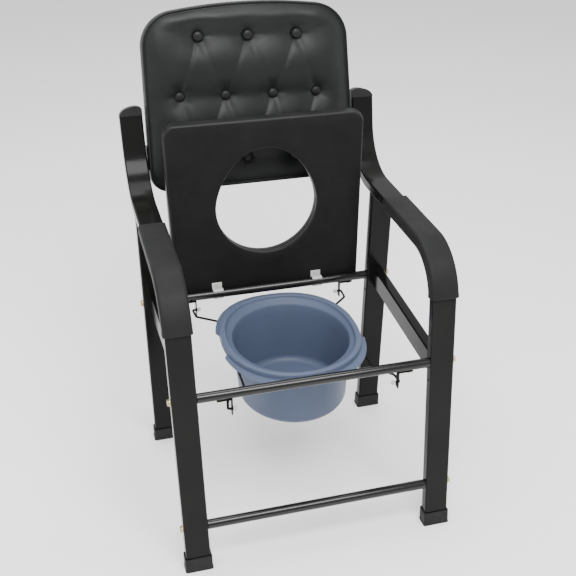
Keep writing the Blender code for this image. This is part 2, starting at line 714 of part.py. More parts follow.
def pail_levels():
    """The pail's wall as ovals (half_x, half_y, squareness, z, shift), from floor inside to base outside."""
    shelf, rim, base = PAIL_SHELF_Z, PAIL_RIM_Z, PAIL_BASE_Z
    wall, flange = PAIL_WALL, FLANGE_THICK
    shifts = {PAIL_MOUTH: PAIL_MOUTH_SHIFT, PAIL_BASE: PAIL_BASE_SHIFT}
    levels = []

    def level(pair, z, grow=0.0, squareness=2.0):
        levels.append((pair[0] + grow, pair[1] + grow, squareness, z, shifts.get(pair, 0.0)))

    for angle in (-70.0, -45.0, -20.0, 0.0):
        a = radians(angle)
        reach = PAIL_BASE_ROUND - wall
        level(PAIL_BASE, base + PAIL_BASE_ROUND + reach * sin(a), reach * (cos(a) - 1.0) - wall)
    level(PAIL_MOUTH, shelf - 0.001, -wall)
    level(PAIL_MOUTH, shelf + wall, 0.0)
    level(RIM_INNER, shelf + wall + 0.0004, 0.0, RIM_SQUARENESS)
    level(RIM_INNER, rim - 0.004, 0.001, RIM_SQUARENESS)
    level(RIM_INNER, rim - 0.001, 0.003, RIM_SQUARENESS)
    level(RIM_INNER, rim, 0.006, RIM_SQUARENESS)
    level(RIM_OUTER, rim, -0.005, RIM_SQUARENESS)
    level(RIM_OUTER, rim - 0.001, -0.002, RIM_SQUARENESS)
    level(RIM_OUTER, rim - 0.004, 0.0, RIM_SQUARENESS)
    level(RIM_OUTER, shelf + flange, 0.0, RIM_SQUARENESS)
    level(FLANGE_OUTER, shelf + flange, -0.001, FLANGE_SQUARENESS)
    level(FLANGE_OUTER, shelf + flange - 0.001, 0.0, FLANGE_SQUARENESS)
    level(FLANGE_OUTER, shelf, 0.0, FLANGE_SQUARENESS)
    level(PAIL_MOUTH, shelf, 0.0015)
    level(PAIL_MOUTH, shelf - 0.002, -0.0005)
    for angle in (0.0, -20.0, -45.0, -70.0, -88.0):
        a = radians(angle)
        level(PAIL_BASE, base + PAIL_BASE_ROUND * (1.0 + sin(a)), PAIL_BASE_ROUND * (cos(a) - 1.0))
    return levels


def build_pail(origin):
    """A slightly oval pail with a broad rim, on a flange with a finger notch in each side."""
    slide = empty("pail_slide", origin, (PAIL_X, PAIL_Y, 0.0))
    bm = bmesh.new()
    rings = [[bm.verts.new((x + shift, y, z)) for x, y in oval(half_x, half_y, squareness)]
             for half_x, half_y, squareness, z, shift in pail_levels()]
    for low, high in zip(rings, rings[1:]):
        for i in range(len(low)):
            j = (i + 1) % len(low)
            bm.faces.new((low[i], low[j], high[j], high[i]))
    bm.faces.new(rings[0])
    bm.faces.new(rings[-1])
    bmesh.ops.recalc_face_normals(bm, faces=bm.faces)
    mesh = bpy.data.meshes.new("pail")
    bm.to_mesh(mesh)
    bm.free()
    smooth(mesh)
    obj = place("pail", mesh, slide, "blue_plastic")
    for side, sign in SIDES:
        low_x, high_x = sorted((sign * (RIM_OUTER[0] + 0.0004), sign * (FLANGE_OUTER[0] + 0.01)))
        notch = box("finger_notch_" + side, (low_x, -FINGER_NOTCH / 2, PAIL_SHELF_Z - 0.005),
                    (high_x, FINGER_NOTCH / 2, PAIL_SHELF_Z + 0.008))
        combine(obj, notch, "DIFFERENCE")


# ---------------------------------------------------------------- rods and hangers

def rod_path(sign):
    """From the rear hanger's hole, in under the pail's flange, along it and out to the front hanger's hole."""
    front, rear = leg_front(FRONT_BAR_Z) + TUBE_DEPTH / 2, REAR_BAR_Y
    tip = HANGER_X - 0.010
    elbow = HANGER_X + ROD_ELBOW
    run = ROD_X + sign * ROD_SHIFT
    low = HANGER_HOLE_Z
    points = [(tip, rear, low), (elbow, rear, low), (elbow - 0.002, rear - 0.034, low + 0.002),
              (run, rear - ROD_REAR_RUN, ROD_Z), (run, front + ROD_FRONT_RUN, ROD_Z),
              (elbow - 0.004, front + 0.022, low + 0.003), (elbow, front, low), (tip, front, low)]
    path = rounded(points, ROD_BENDS, closed=False, steps=4)
    return [(sign * p.x, p.y, p.z) for p in path]


def hanger_mesh(sign):
    """An L of flat steel, its foot under the bar and its leg down to the rod's hole."""
    leg = HANGER_X - HANGER_STEEL / 2
    outline = [(leg, 0.0), (leg + HANGER_FOOT, 0.0), (leg + HANGER_FOOT, -HANGER_STEEL),
               (leg + HANGER_STEEL, -HANGER_STEEL),
               (leg + HANGER_STEEL, HANGER_BOTTOM - REAR_BAR_Z + BAR_RADIUS),
               (leg, HANGER_BOTTOM - REAR_BAR_Z + BAR_RADIUS)]
    mesh = slab("hanger", [[(sign * x, z) for x, z in outline]], HANGER_WIDTH)
    mesh.transform(Matrix(((1, 0, 0, 0), (0, 0, 1, -HANGER_WIDTH / 2), (0, 1, 0, 0), (0, 0, 0, 1))))
    mesh.flip_normals()
    return mesh


def rod_cap_profile():
    bore = ROD_RADIUS + 0.0004
    return [(0.0, 0.0), (ROD_CAP_RADIUS / 2, 0.0), (ROD_CAP_RADIUS, -0.0018), (ROD_CAP_RADIUS, -ROD_CAP_LENGTH),
            (bore, -ROD_CAP_LENGTH), (bore, -0.0017), (0.0, -0.0017)]


def build_rods(origin):
    front = leg_front(FRONT_BAR_Z) + TUBE_DEPTH / 2
    bars = (("front", front, FRONT_BAR_Z), ("rear", REAR_BAR_Y, REAR_BAR_Z))
    screw = cylinder("hanger_screw", 0.0042, 0.003, 14)
    hole = cylinder("hanger_hole", ROD_RADIUS + 0.0006, 0.02, 16, "X")
    cap = profile_mesh("rod_cap", rod_cap_profile())
    for side, sign in SIDES:
        rod = round_bar("rod_" + side, rod_path(sign), ROD_RADIUS, 2)
        place("rod_" + side, rod, origin, "black_wire")
        for end, y, z in bars:
            foot = z - BAR_RADIUS - GAP
            hanger = place(f"hanger_{end}_{side}", hanger_mesh(sign), origin, "black_enamel",
                           (HANGER_SHIFT, y, foot))
            combine(hanger, hole, "DIFFERENCE", (sign * HANGER_X, 0.0, HANGER_HOLE_Z - foot))
            place(f"hanger_screw_{end}_{side}", screw, origin, "zinc",
                  (HANGER_SHIFT + sign * (HANGER_X + HANGER_SCREW_X), y, foot - HANGER_STEEL - GAP - 0.0015))
            tip = place(f"rod_cap_{end}_{side}", cap, origin, "white_plastic",
                        (sign * (HANGER_X - 0.012), y, HANGER_HOLE_Z), (0.0, -sign * pi / 2, 0.0))
            turned(tip, 16)


# ---------------------------------------------------------------- the chair

def build():
    origin = empty(NAME, None, (0.0, -HALF_DEPTH, 0.0))
    for side, sign in SIDES:
        build_side(side, sign, origin)
    front = leg_front(FRONT_BAR_Z) + TUBE_DEPTH / 2
    lower = leg_front(LOWER_BAR_Z) + TUBE_DEPTH / 2
    bars = (("front", front, FRONT_BAR_Z), ("lower", lower, LOWER_BAR_Z), ("rear", REAR_BAR_Y, REAR_BAR_Z))
    for label, y, z in bars:
        build_cross_bar("cross_bar_" + label, y, z, origin)
    build_bolts(bars, origin)
    build_seat(origin)
    build_backrest(origin)
    build_pail(origin)
    build_rods(origin)


for old in list(bpy.data.objects):
    bpy.data.objects.remove(old)
PARTS = bpy.data.collections.new(NAME)
CUTTERS = bpy.data.collections.new("cutters")
for collection in (PARTS, CUTTERS):
    bpy.context.scene.collection.children.link(collection)
build()
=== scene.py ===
"""Commode chair: upholstery, materials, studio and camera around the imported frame."""
import json
from math import cos, pi, radians, sin, tan

import bmesh
import bpy
import numpy as np
from mathutils import Matrix, Vector

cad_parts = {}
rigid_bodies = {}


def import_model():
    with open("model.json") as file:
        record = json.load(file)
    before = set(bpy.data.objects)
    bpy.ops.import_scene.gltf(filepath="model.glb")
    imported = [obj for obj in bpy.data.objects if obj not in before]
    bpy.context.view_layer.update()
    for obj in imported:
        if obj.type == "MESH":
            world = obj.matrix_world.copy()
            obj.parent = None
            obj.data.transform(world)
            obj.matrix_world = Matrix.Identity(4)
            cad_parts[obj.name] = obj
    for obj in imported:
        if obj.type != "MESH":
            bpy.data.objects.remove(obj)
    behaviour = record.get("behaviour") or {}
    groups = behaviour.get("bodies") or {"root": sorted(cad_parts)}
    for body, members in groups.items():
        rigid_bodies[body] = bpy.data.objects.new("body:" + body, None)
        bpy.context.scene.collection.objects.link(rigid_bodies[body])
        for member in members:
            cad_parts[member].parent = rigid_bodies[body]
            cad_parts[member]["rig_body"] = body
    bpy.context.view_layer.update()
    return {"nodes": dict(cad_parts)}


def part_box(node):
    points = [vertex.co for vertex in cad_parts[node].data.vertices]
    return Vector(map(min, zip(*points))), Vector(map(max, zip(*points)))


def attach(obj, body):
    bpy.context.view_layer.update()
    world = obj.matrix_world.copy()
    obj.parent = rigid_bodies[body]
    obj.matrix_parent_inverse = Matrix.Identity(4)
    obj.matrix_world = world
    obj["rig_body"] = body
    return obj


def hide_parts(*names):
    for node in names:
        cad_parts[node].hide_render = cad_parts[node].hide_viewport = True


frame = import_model()
nodes = frame["nodes"]
SCENE = bpy.context.scene

# the camera, where the photograph was taken from
CAMERA_PLACE = Vector((-0.44980, -1.70954, 1.43747))
CAMERA_YAW = radians(15.31)
CAMERA_PITCH = radians(29.53)
CAMERA_ROLL = radians(0.19)
CAMERA_LENS = 58.53

# slopes of the two upholstered panels
BACK_LEAN = radians(12.0)
SEAT_LEAN = radians(2.0)


# ---------------------------------------------------------------- shader helpers

class Shader:
    """A Principled material whose colour, roughness and relief come from textures in object space."""

    def __init__(self, name):
        self.material = bpy.data.materials.new(name)
        self.material.use_nodes = True
        self.tree = self.material.node_tree
        self.principled = self.tree.nodes["Principled BSDF"]
        self.coordinates = self.tree.nodes.new("ShaderNodeTexCoord")
        self.relief = None

    def link(self, source, target):
        self.tree.links.new(source, target)

    def noise(self, scale, detail, stretch=None):
        node = self.tree.nodes.new("ShaderNodeTexNoise")
        node.inputs["Scale"].default_value = scale
        node.inputs["Detail"].default_value = detail
        node.inputs["Roughness"].default_value = 0.5
        self.link(self._vector(stretch), node.inputs["Vector"])
        return node.outputs["Fac"]

    def cells(self, scale, feature="F1"):
        node = self.tree.nodes.new("ShaderNodeTexVoronoi")
        node.feature = feature
        node.inputs["Scale"].default_value = scale
        self.link(self.coordinates.outputs["Object"], node.inputs["Vector"])
        return node.outputs["Distance"]

    def weave(self, scale, axis):
        node = self.tree.nodes.new("ShaderNodeTexWave")
        node.bands_direction = axis
        node.inputs["Scale"].default_value = scale
        node.inputs["Distortion"].default_value = 0.6
        node.inputs["Detail"].default_value = 1.0
        self.link(self.coordinates.outputs["Object"], node.inputs["Vector"])
        return node.outputs["Fac"]

    def _vector(self, stretch):
        if stretch is None:
            return self.coordinates.outputs["Object"]
        mapping = self.tree.nodes.new("ShaderNodeMapping")
        mapping.inputs["Scale"].default_value = stretch
        self.link(self.coordinates.outputs["Object"], mapping.inputs["Vector"])
        return mapping.outputs["Vector"]

    def colour(self, low, high, source):
        """Base colour that wanders between two tones."""
        ramp = self.tree.nodes.new("ShaderNodeValToRGB")
        ramp.color_ramp.elements[0].position = 0.30
        ramp.color_ramp.elements[1].position = 0.70
        ramp.color_ramp.elements[0].color = (*low, 1.0)
        ramp.color_ramp.elements[1].color = (*high, 1.0)
        self.link(source, ramp.inputs["Fac"])
        self.link(ramp.outputs["Color"], self.principled.inputs["Base Color"])

    def roughness(self, low, high, source):
        spread = self.tree.nodes.new("ShaderNodeMapRange")
        spread.inputs["From Min"].default_value = 0.25
        spread.inputs["From Max"].default_value = 0.75
        spread.inputs["To Min"].default_value = low
        spread.inputs["To Max"].default_value = high
        self.link(source, spread.inputs["Value"])
        self.link(spread.outputs["Result"], self.principled.inputs["Roughness"])

    def bump(self, source, strength, distance):
        """Adds one layer of relief; the layers stack."""
        node = self.tree.nodes.new("ShaderNodeBump")
        node.inputs["Strength"].default_value = strength
        node.inputs["Distance"].default_value = distance
        self.link(source, node.inputs["Height"])
        if self.relief is not None:
            self.link(self.relief, node.inputs["Normal"])
        self.relief = node.outputs["Normal"]
        self.link(self.relief, self.principled.inputs["Normal"])

    def set(self, **values):
        for name, value in values.items():
            self.principled.inputs[name.replace("_", " ")].default_value = value


def make_enamel():
    s = Shader("enamel_black")
    s.colour((0.0046, 0.0044, 0.0043), (0.0068, 0.0065, 0.0062), s.noise(9.0, 4.0))
    s.roughness(0.13, 0.21, s.noise(35.0, 5.0))
    s.bump(s.noise(620.0, 2.0), 0.04, 0.0003)
    s.set(Specular_IOR_Level=0.12)
    return s.material


def make_bar_enamel():
    s = Shader("bar_enamel_black")
    s.colour((0.0040, 0.0039, 0.0038), (0.0060, 0.0058, 0.0056), s.noise(12.0, 4.0))
    s.roughness(0.13, 0.20, s.noise(60.0, 4.0))
    s.bump(s.noise(500.0, 2.0), 0.04, 0.0003)
    s.set(Specular_IOR_Level=0.38)
    return s.material


def make_wire():
    s = Shader("wire_black")
    s.colour((0.0030, 0.0030, 0.0030), (0.0055, 0.0050, 0.0050), s.noise(60.0, 3.0))
    s.roughness(0.30, 0.44, s.noise(140.0, 3.0))
    s.bump(s.noise(900.0, 2.0), 0.12, 0.0003)
    s.set(Specular_IOR_Level=0.10)
    return s.material


def make_arm_foam():
    s = Shader("arm_pad_grey")
    s.colour((0.0105, 0.0106, 0.0108), (0.0140, 0.0141, 0.0144), s.noise(14.0, 5.0))
    s.roughness(0.46, 0.60, s.noise(45.0, 4.0))
    s.bump(s.cells(900.0), 0.22, 0.0005)
    s.bump(s.noise(260.0, 4.0), 0.12, 0.0006)
    s.set(Specular_IOR_Level=0.10)
    return s.material


def make_vinyl(name, low, high, gloss):
    s = Shader(name)
    s.colour(low, high, s.noise(11.0, 5.0))
    s.roughness(gloss - 0.05, gloss + 0.09, s.noise(30.0, 5.0))
    s.bump(s.cells(520.0, "DISTANCE_TO_EDGE"), 0.30, 0.0006)
    s.bump(s.noise(1300.0, 3.0), 0.16, 0.0003)
    s.bump(s.noise(38.0, 3.0), 0.10, 0.0022)
    s.set(Specular_IOR_Level=0.17)
    return s.material


def make_lining():
    s = Shader("lining_black")
    s.colour((0.0050, 0.0048, 0.0047), (0.0070, 0.0067, 0.0065), s.noise(16.0, 6.0))
    s.roughness(0.62, 0.78, s.noise(50.0, 4.0))
    s.bump(s.weave(420.0, "X"), 0.10, 0.0003)
    s.bump(s.weave(420.0, "Z"), 0.10, 0.0003)
    s.bump(s.noise(26.0, 3.0), 0.10, 0.0030)
    s.set(Specular_IOR_Level=0.14)
    return s.material


def make_rubber():
    s = Shader("rubber_black")
    s.colour((0.0075, 0.0075, 0.0075), (0.0115, 0.0115, 0.0112), s.noise(40.0, 5.0))
    s.roughness(0.50, 0.70, s.noise(90.0, 4.0))
    s.bump(s.noise(700.0, 4.0), 0.20, 0.0005)
    s.set(Specular_IOR_Level=0.20)
    return s.material


def make_cap_plastic():
    s = Shader("cap_plastic_black")
    s.colour((0.0065, 0.0063, 0.0062), (0.0095, 0.0092, 0.0090), s.noise(50.0, 4.0))
    s.roughness(0.30, 0.42, s.noise(80.0, 4.0))
    s.bump(s.noise(1100.0, 2.0), 0.14, 0.0003)
    s.set(Specular_IOR_Level=0.30)
    return s.material


def make_pail_plastic():
    s = Shader("pail_plastic_blue")
    s.colour((0.066, 0.084, 0.130), (0.075, 0.095, 0.147), s.noise(7.0, 4.0))
    s.roughness(0.33, 0.46, s.noise(26.0, 5.0))
    s.bump(s.noise(950.0, 3.0), 0.10, 0.0004)
    s.bump(s.noise(12.0, 2.0), 0.05, 0.0030)
    s.set(Subsurface_Weight=0.06, Subsurface_Scale=0.004, Specular_IOR_Level=0.16)
    return s.material


def make_clip_plastic():
    s = Shader("clip_plastic_white")
    s.colour((0.40, 0.405, 0.395), (0.49, 0.495, 0.485), s.noise(45.0, 4.0))
    s.roughness(0.36, 0.50, s.noise(110.0, 4.0))
    s.bump(s.noise(800.0, 3.0), 0.12, 0.0003)
    s.set(Subsurface_Weight=0.10, Subsurface_Scale=0.003)
    return s.material


def make_zinc():
    s = Shader("zinc_yellow")
    s.colour((0.50, 0.40, 0.20), (0.66, 0.56, 0.34), s.noise(160.0, 4.0))
    s.roughness(0.26, 0.48, s.noise(300.0, 4.0, stretch=(1.0, 1.0, 4.0)))
    s.bump(s.noise(1500.0, 3.0), 0.15, 0.0002)
    s.set(Metallic=1.0)
    return s.material


def make_thread():
    s = Shader("thread_black")
    s.colour((0.016, 0.016, 0.016), (0.030, 0.030, 0.030), s.noise(400.0, 2.0))
    s.roughness(0.60, 0.80, s.noise(500.0, 2.0))
    s.bump(s.noise(2500.0, 2.0), 0.30, 0.0002)
    return s.material


ENAMEL = make_enamel()
WIRE = make_wire()
ARM_FOAM = make_arm_foam()
VINYL = make_vinyl("vinyl_charcoal", (0.0082, 0.0087, 0.0087), (0.0112, 0.0118, 0.0118), 0.38)
SEAT_VINYL = make_vinyl("vinyl_seat", (0.0086, 0.0088, 0.0088), (0.0118, 0.0120, 0.0120), 0.38)
BAR_ENAMEL = make_bar_enamel()
LINING = make_lining()
RUBBER = make_rubber()
CAP_PLASTIC = make_cap_plastic()
PAIL_PLASTIC = make_pail_plastic()
CLIP_PLASTIC = make_clip_plastic()
ZINC = make_zinc()
THREAD = make_thread()
BUTTON_VINYL = make_vinyl("vinyl_button", (0.0080, 0.0082, 0.0083), (0.0110, 0.0112, 0.0113), 0.36)

# the first prefix that fits a CAD node's name gives its material
NODE_MATERIALS = (
    ("side_frame_", ENAMEL), ("rear_leg_", ENAMEL), ("side_rail_", ENAMEL), ("cross_bar_", BAR_ENAMEL),
    ("backrest_bracket_", ENAMEL), ("foot_", RUBBER), ("post_cap_", CAP_PLASTIC),
    ("hinge_clip_", CLIP_PLASTIC), ("clip_screw_", CLIP_PLASTIC), ("bolt_", ZINC),
    ("rod_cap_", CLIP_PLASTIC), ("rod_", WIRE), ("hanger_screw_", ZINC), ("hanger_", WIRE),
)


# ---------------------------------------------------------------- mesh helpers

def add_piece(name, mesh, material, body, replaced=(), sharp=38.0):
    """A shaded piece that rides on a body; it stands for CAD nodes, or takes its finish from a slot."""
    mesh.materials.clear()
    mesh.materials.append(material)
    mesh.shade_smooth()
    mesh.set_sharp_from_angle(angle=radians(sharp))
    obj = bpy.data.objects.new(name, mesh)
    SCENE.collection.objects.link(obj)
    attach(obj, body)
    if replaced:
        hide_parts(*replaced)
    return obj


def node_body(name):
    return nodes[name]["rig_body"]


def polished(name, material):
    """The node's own shape with its facets welded, smoothed and weighted, so bends and bars look round."""
    bm = bmesh.new()
    bm.from_mesh(nodes[name].data)
    bmesh.ops.remove_doubles(bm, verts=bm.verts, dist=0.00001)
    bmesh.ops.dissolve_limit(bm, angle_limit=radians(0.5), verts=bm.verts, edges=bm.edges)
    mesh = bpy.data.meshes.new(name + "_finish")
    bm.to_mesh(mesh)
    bm.free()
    obj = add_piece(name + "_finish", mesh, material, node_body(name), (name,))
    weighted = obj.modifiers.new("weighted_normals", "WEIGHTED_NORMAL")
    weighted.keep_sharp = True
    weighted.weight = 60
    return obj


def loft(name, rings, closed_loop=False, cap_ends=False):
    """A skin over rings of equal length; each ring is closed."""
    bm = bmesh.new()
    loops = [[bm.verts.new(p) for p in ring] for ring in rings]
    pairs = list(zip(loops, loops[1:]))
    if closed_loop:
        pairs.append((loops[-1], loops[0]))
    for low, high in pairs:
        for i in range(len(low)):
            j = (i + 1) % len(low)
            bm.faces.new((low[i], low[j], high[j], high[i]))
    if cap_ends:
        bm.faces.new(list(reversed(loops[0])))
        bm.faces.new(loops[-1])
    bmesh.ops.recalc_face_normals(bm, faces=bm.faces)
    mesh = bpy.data.meshes.new(name)
    bm.to_mesh(mesh)
    bm.free()
    return mesh


def rounded(points, radii, steps):
    """A closed flat outline with its corners rounded."""
    corners = [np.array(p, dtype=float) for p in points]
    path = []
    for i, corner in enumerate(corners):
        back = corners[i - 1] - corner
        ahead = corners[(i + 1) % len(corners)] - corner
        back /= np.linalg.norm(back)
        ahead /= np.linalg.norm(ahead)
        half = np.arccos(np.clip(back @ ahead, -1.0, 1.0)) / 2.0
        middle = back + ahead
        centre = corner + middle / np.linalg.norm(middle) * radii[i] / sin(half)
        start = corner + back * radii[i] / tan(half) - centre
        end = corner + ahead * radii[i] / tan(half) - centre
        sweep = np.arccos(np.clip(start @ end / radii[i] ** 2, -1.0, 1.0))
        for k in range(steps + 1):
            a = sweep * k / steps
            path.append(centre + (start * sin(sweep - a) + end * sin(a)) / sin(sweep))
    return np.array(path)


def resampled(outline, spacing):
    """The closed outline with extra points, so no step is longer than the spacing."""
    result = []
    for here, there in zip(outline, np.roll(outline, -1, axis=0)):
        count = max(1, int(np.ceil(np.linalg.norm(there - here) / spacing)))
        result += [here + (there - here) * k / count for k in range(count)]
    return np.array(result)


def outward(outline):
    """Unit normals of a closed counter-clockwise outline, pointing out of it."""
    ahead = np.roll(outline, -1, axis=0) - np.roll(outline, 1, axis=0)
    normal = np.stack([ahead[:, 1], -ahead[:, 0]], axis=1)
    return normal / np.linalg.norm(normal, axis=1)[:, None]


def counter_clockwise(outline):
    x, y = outline[:, 0], outline[:, 1]
    area = np.sum(x * np.roll(y, -1) - y * np.roll(x, -1))
    return outline if area > 0.0 else outline[::-1]


def edge_distance(points, outline):
    """Distance of each point to a closed outline."""
    best = np.full(len(points), 1e9)
    for a, b in zip(outline, np.roll(outline, -1, axis=0)):
        along = b - a
        length = along @ along
        if length < 1e-12:
            continue
        share = np.clip((points - a) @ along / length, 0.0, 1.0)
        best = np.minimum(best, np.linalg.norm(points - (a + share[:, None] * along), axis=1))
    return best


class Plane:
    """A leaning panel's own axes (across, up and out of its face) and its CAD node's limits along them."""

    def __init__(self, name, x_axis, up, out):
        self.axes = np.array([x_axis, up, out])
        corners = np.array([tuple(v.co) for v in nodes[name].data.vertices]) @ self.axes.T
        self.low, self.high = corners.min(axis=0), corners.max(axis=0)

    def world(self, points):
        return np.asarray(points) @ self.axes

    def local(self, point):
        return self.axes @ np.array(point)


def tube_ring(centre, side, lift, radius, count):
    """A circle of points round the centre, in the plane of side and lift."""
    angles = [2 * pi * k / count for k in range(count)]
    return [centre + side * radius * cos(a) + lift * radius * sin(a) for a in angles]


def at_height(flat, height):
    """The flat outline's points with one height given to all of them."""
    return np.concatenate([flat, np.full((len(flat), 1), height)], axis=1)


# ---------------------------------------------------------------- hard parts

for name in list(nodes):
    for prefix, material in NODE_MATERIALS:
        if name.startswith(prefix):
            polished(name, material)
            break


# ---------------------------------------------------------------- backrest: buttoned front and covered back

# the panel's outline, seen square on, from its middle
BACK_HALF = 0.2305
BACK_TAPER = 0.026
BACK_TOP = 0.1935
BACK_SHOULDER = 0.1665
BACK_FOOT = -0.209
BACK_TOP_CORNER = 0.077
BACK_CROWN_TANGENT = 0.140
BACK_FOOT_CORNER = 0.038
BACK_CORNER_STEPS = 18
BACK_COLUMNS = 189
BACK_ROWS = 161
OUTLINE_STEP = 0.006

# the panel's side, below its front border: depth and growth, pairwise
BACK_SIDE = (
    (-0.005, 0.0006), (-0.011, 0.0016), (-0.018, 0.0020), (-0.026, 0.0014), (-0.033, 0.0002),
    (-0.036, -0.0010),
)

# the sheet blown up over the panel: its grid, its load, and what holds it down
SHEET_PITCH = 0.003
SHEET_HALF = 0.246
SHEET_MARGIN = 0.009
SHEET_BORDER = 0.006
SHEET_ROUNDS = 1800
SHEET_LOAD = 0.001
BUTTON_STEM = 0.007
BUTTON_HOLD = 0.035
BUTTON_HOLD_WIDE = 0.020
ROW_HOLD = 0.010
ROW_HOLD_WIDE = 0.010

# the relief made of it: pleats, the roll above the buttons, and each button's socket
PUFF = 0.0175
PUFF_POWER = 0.62
PLEAT_DEEP = 0.0027
PLEAT_EASY = 0.016
PLEAT_STEEP = 0.0030
SOFT_PLEAT_DEEP = 0.0016
SOFT_PLEAT_WIDE = 0.008
ROLL_HALF = 0.200
ROLL_END = 0.045
ROLL_VALLEY = 0.0042
ROLL_FOOT = 0.009
ROLL_STEEP = 0.016
ROLL_EASY = 0.046
ROLL_CREST = 0.0030
ROLL_CREST_RISE = 0.040
ROLL_CREST_WIDE = 0.017
SOCKET_DEEP = 0.0022
SOCKET_RADIUS = 0.0105
SOCKET_FALL = 0.0055
PUCKER_DEEP = 0.0004
PUCKER_RADIUS = 0.019
PUCKER_WIDE = 0.009
CREASE_DEEP = 0.0016
CREASE_ANGLE = 0.16
CREASE_START = 0.010
CREASE_FALL = 0.012

# the front's border: a flat strip, a seam beside the welt, and the turn over the edge
BORDER_FLAT = 0.0055
BORDER_RISE = 0.010
SEAM_DEEP = 0.0007
SEAM_INSET = 0.0062
SEAM_WIDE = 0.0018
EDGE_DROP = 0.0012
EDGE_WIDE = 0.0025

# the welt cord, the stitches, and a covered button's (radius, height) pairs
WELT_RADIUS = 0.0024
WELT_INSET = 0.0018
STITCH_INSET = 0.012
STITCH_STEP = 0.007
STITCH_PROFILE = ((-0.0021, 0.0001), (-0.0015, 0.0004), (0.0015, 0.0004), (0.0021, 0.0001))
BUTTON_PROFILE = (
    (0.0088, -0.0010), (0.0104, 0.0004), (0.0108, 0.0016), (0.0102, 0.0030), (0.0086, 0.0043),
    (0.0062, 0.0052), (0.0033, 0.0057),
)

# the covered board behind the cushion: growth and depth from its front or rear, then its shallow crown
BOARD_FRONT_EDGE = ((-0.004, 0.0), (0.0004, -0.0006), (0.0008, -0.003))
BOARD_REAR_EDGE = ((0.0004, 0.003), (-0.0008, 0.0012), (-0.0030, 0.0))
BOARD_CROWN = ((0.96, 0.0004), (0.90, 0.0009), (0.75, 0.0014), (0.5, 0.0018), (0.25, 0.0020))

back_plane = Plane("backrest_cushion", (1.0, 0.0, 0.0), (0.0, sin(BACK_LEAN), cos(BACK_LEAN)),
                   (0.0, -cos(BACK_LEAN), sin(BACK_LEAN)))
BACK_ORIGIN = np.array([0.0, back_plane.low[1] - BACK_FOOT, back_plane.high[2]])


def back_half(s):
    """Half the panel's width at a height on it."""
    return BACK_HALF - BACK_TAPER * s


def backrest_outline():
    foot, shoulder = back_half(BACK_FOOT), back_half(BACK_SHOULDER)
    corners = [(foot, BACK_FOOT), (shoulder, BACK_SHOULDER), (0.0, BACK_TOP), (-shoulder, BACK_SHOULDER),
               (-foot, BACK_FOOT)]
    slope = np.arctan2(BACK_TOP - BACK_SHOULDER, shoulder)
    crown = BACK_CROWN_TANGENT / tan(slope)
    radii = [BACK_FOOT_CORNER, BACK_TOP_CORNER, crown, BACK_TOP_CORNER, BACK_FOOT_CORNER]
    return counter_clockwise(resampled(rounded(corners, radii, BACK_CORNER_STEPS), OUTLINE_STEP))


def button_spots():
    """Button centres in the panel's frame, row by row, from the CAD nodes."""
    rows = []
    for row, count in ((1, 3), (2, 4), (3, 3)):
        spots = []
        for column in range(1, count + 1):
            low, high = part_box(f"backrest_button_{row}_{column}")
            spot = back_plane.local((low + high) / 2) - BACK_ORIGIN
            spots.append(spot[:2])
        rows.append(spots)
    return rows


def segment_coordinates(points, start, end):
    """Share along a segment, unclamped, and signed distance to its right."""
    along = end - start
    length = np.linalg.norm(along)
    along = along / length
    across = np.array([along[1], -along[0]])
    offset = points - start
    return (offset @ along) / length, offset @ across


def membrane(outline, spots):
    """Height of a sheet blown up over the panel and held down at its border and at each button."""
    xs = np.arange(-SHEET_HALF, SHEET_HALF + 0.0001, SHEET_PITCH)
    ys = np.arange(BACK_FOOT - SHEET_MARGIN, BACK_TOP + SHEET_MARGIN, SHEET_PITCH)
    grid_x, grid_y = np.meshgrid(xs, ys)
    flat = np.stack([grid_x.ravel(), grid_y.ravel()], axis=1)
    inside = np.zeros(len(flat), dtype=bool)
    for (x0, y0), (x1, y1) in zip(outline, np.roll(outline, -1, axis=0)):
        if y0 == y1:
            continue
        hit = (flat[:, 1] > min(y0, y1)) & (flat[:, 1] <= max(y0, y1))
        cross = x0 + (flat[:, 1] - y0) * (x1 - x0) / (y1 - y0)
        inside ^= hit & (flat[:, 0] < cross)
    distance = edge_distance(flat, outline)
    free = (inside & (distance > SHEET_BORDER)).reshape(grid_x.shape)
    hold = np.zeros(grid_x.shape)
    for row in spots:
        for spot in row:
            near = np.hypot(grid_x - spot[0], grid_y - spot[1])
            free &= near > BUTTON_STEM
            hold += BUTTON_HOLD * np.exp(-(near / BUTTON_HOLD_WIDE) ** 2)
    for row in spots:
        for start, end in zip(row, row[1:]):
            share, side = segment_coordinates(flat, start, end)
            line = np.exp(-(side / ROW_HOLD_WIDE) ** 2) * ((share > 0.0) & (share < 1.0))
            hold += ROW_HOLD * line.reshape(grid_x.shape)
    height = np.zeros(grid_x.shape)
    for _ in range(SHEET_ROUNDS):
        around = np.roll(height, 1, 0) + np.roll(height, -1, 0)
        around = around + np.roll(height, 1, 1) + np.roll(height, -1, 1)
        height = np.where(free, (around + SHEET_LOAD) / (4.0 + 4.0 * hold), 0.0)
    height /= height.max()
    return xs, ys, height


def sample(xs, ys, values, points):
    """Bilinear reading of a regular grid."""
    fx = np.clip((points[:, 0] - xs[0]) / (xs[1] - xs[0]), 0.0, len(xs) - 1.001)
    fy = np.clip((points[:, 1] - ys[0]) / (ys[1] - ys[0]), 0.0, len(ys) - 1.001)
    ix, iy = fx.astype(int), fy.astype(int)
    tx, ty = fx - ix, fy - iy
    low = values[iy, ix] * (1 - tx) + values[iy, ix + 1] * tx
    high = values[iy + 1, ix] * (1 - tx) + values[iy + 1, ix + 1] * tx
    return low * (1 - ty) + high * ty


def fade(share, ends):
    """One along a segment, falling to nothing over its ends."""
    return np.clip(share / ends, 0.0, 1.0) * np.clip((1.0 - share) / ends, 0.0, 1.0)


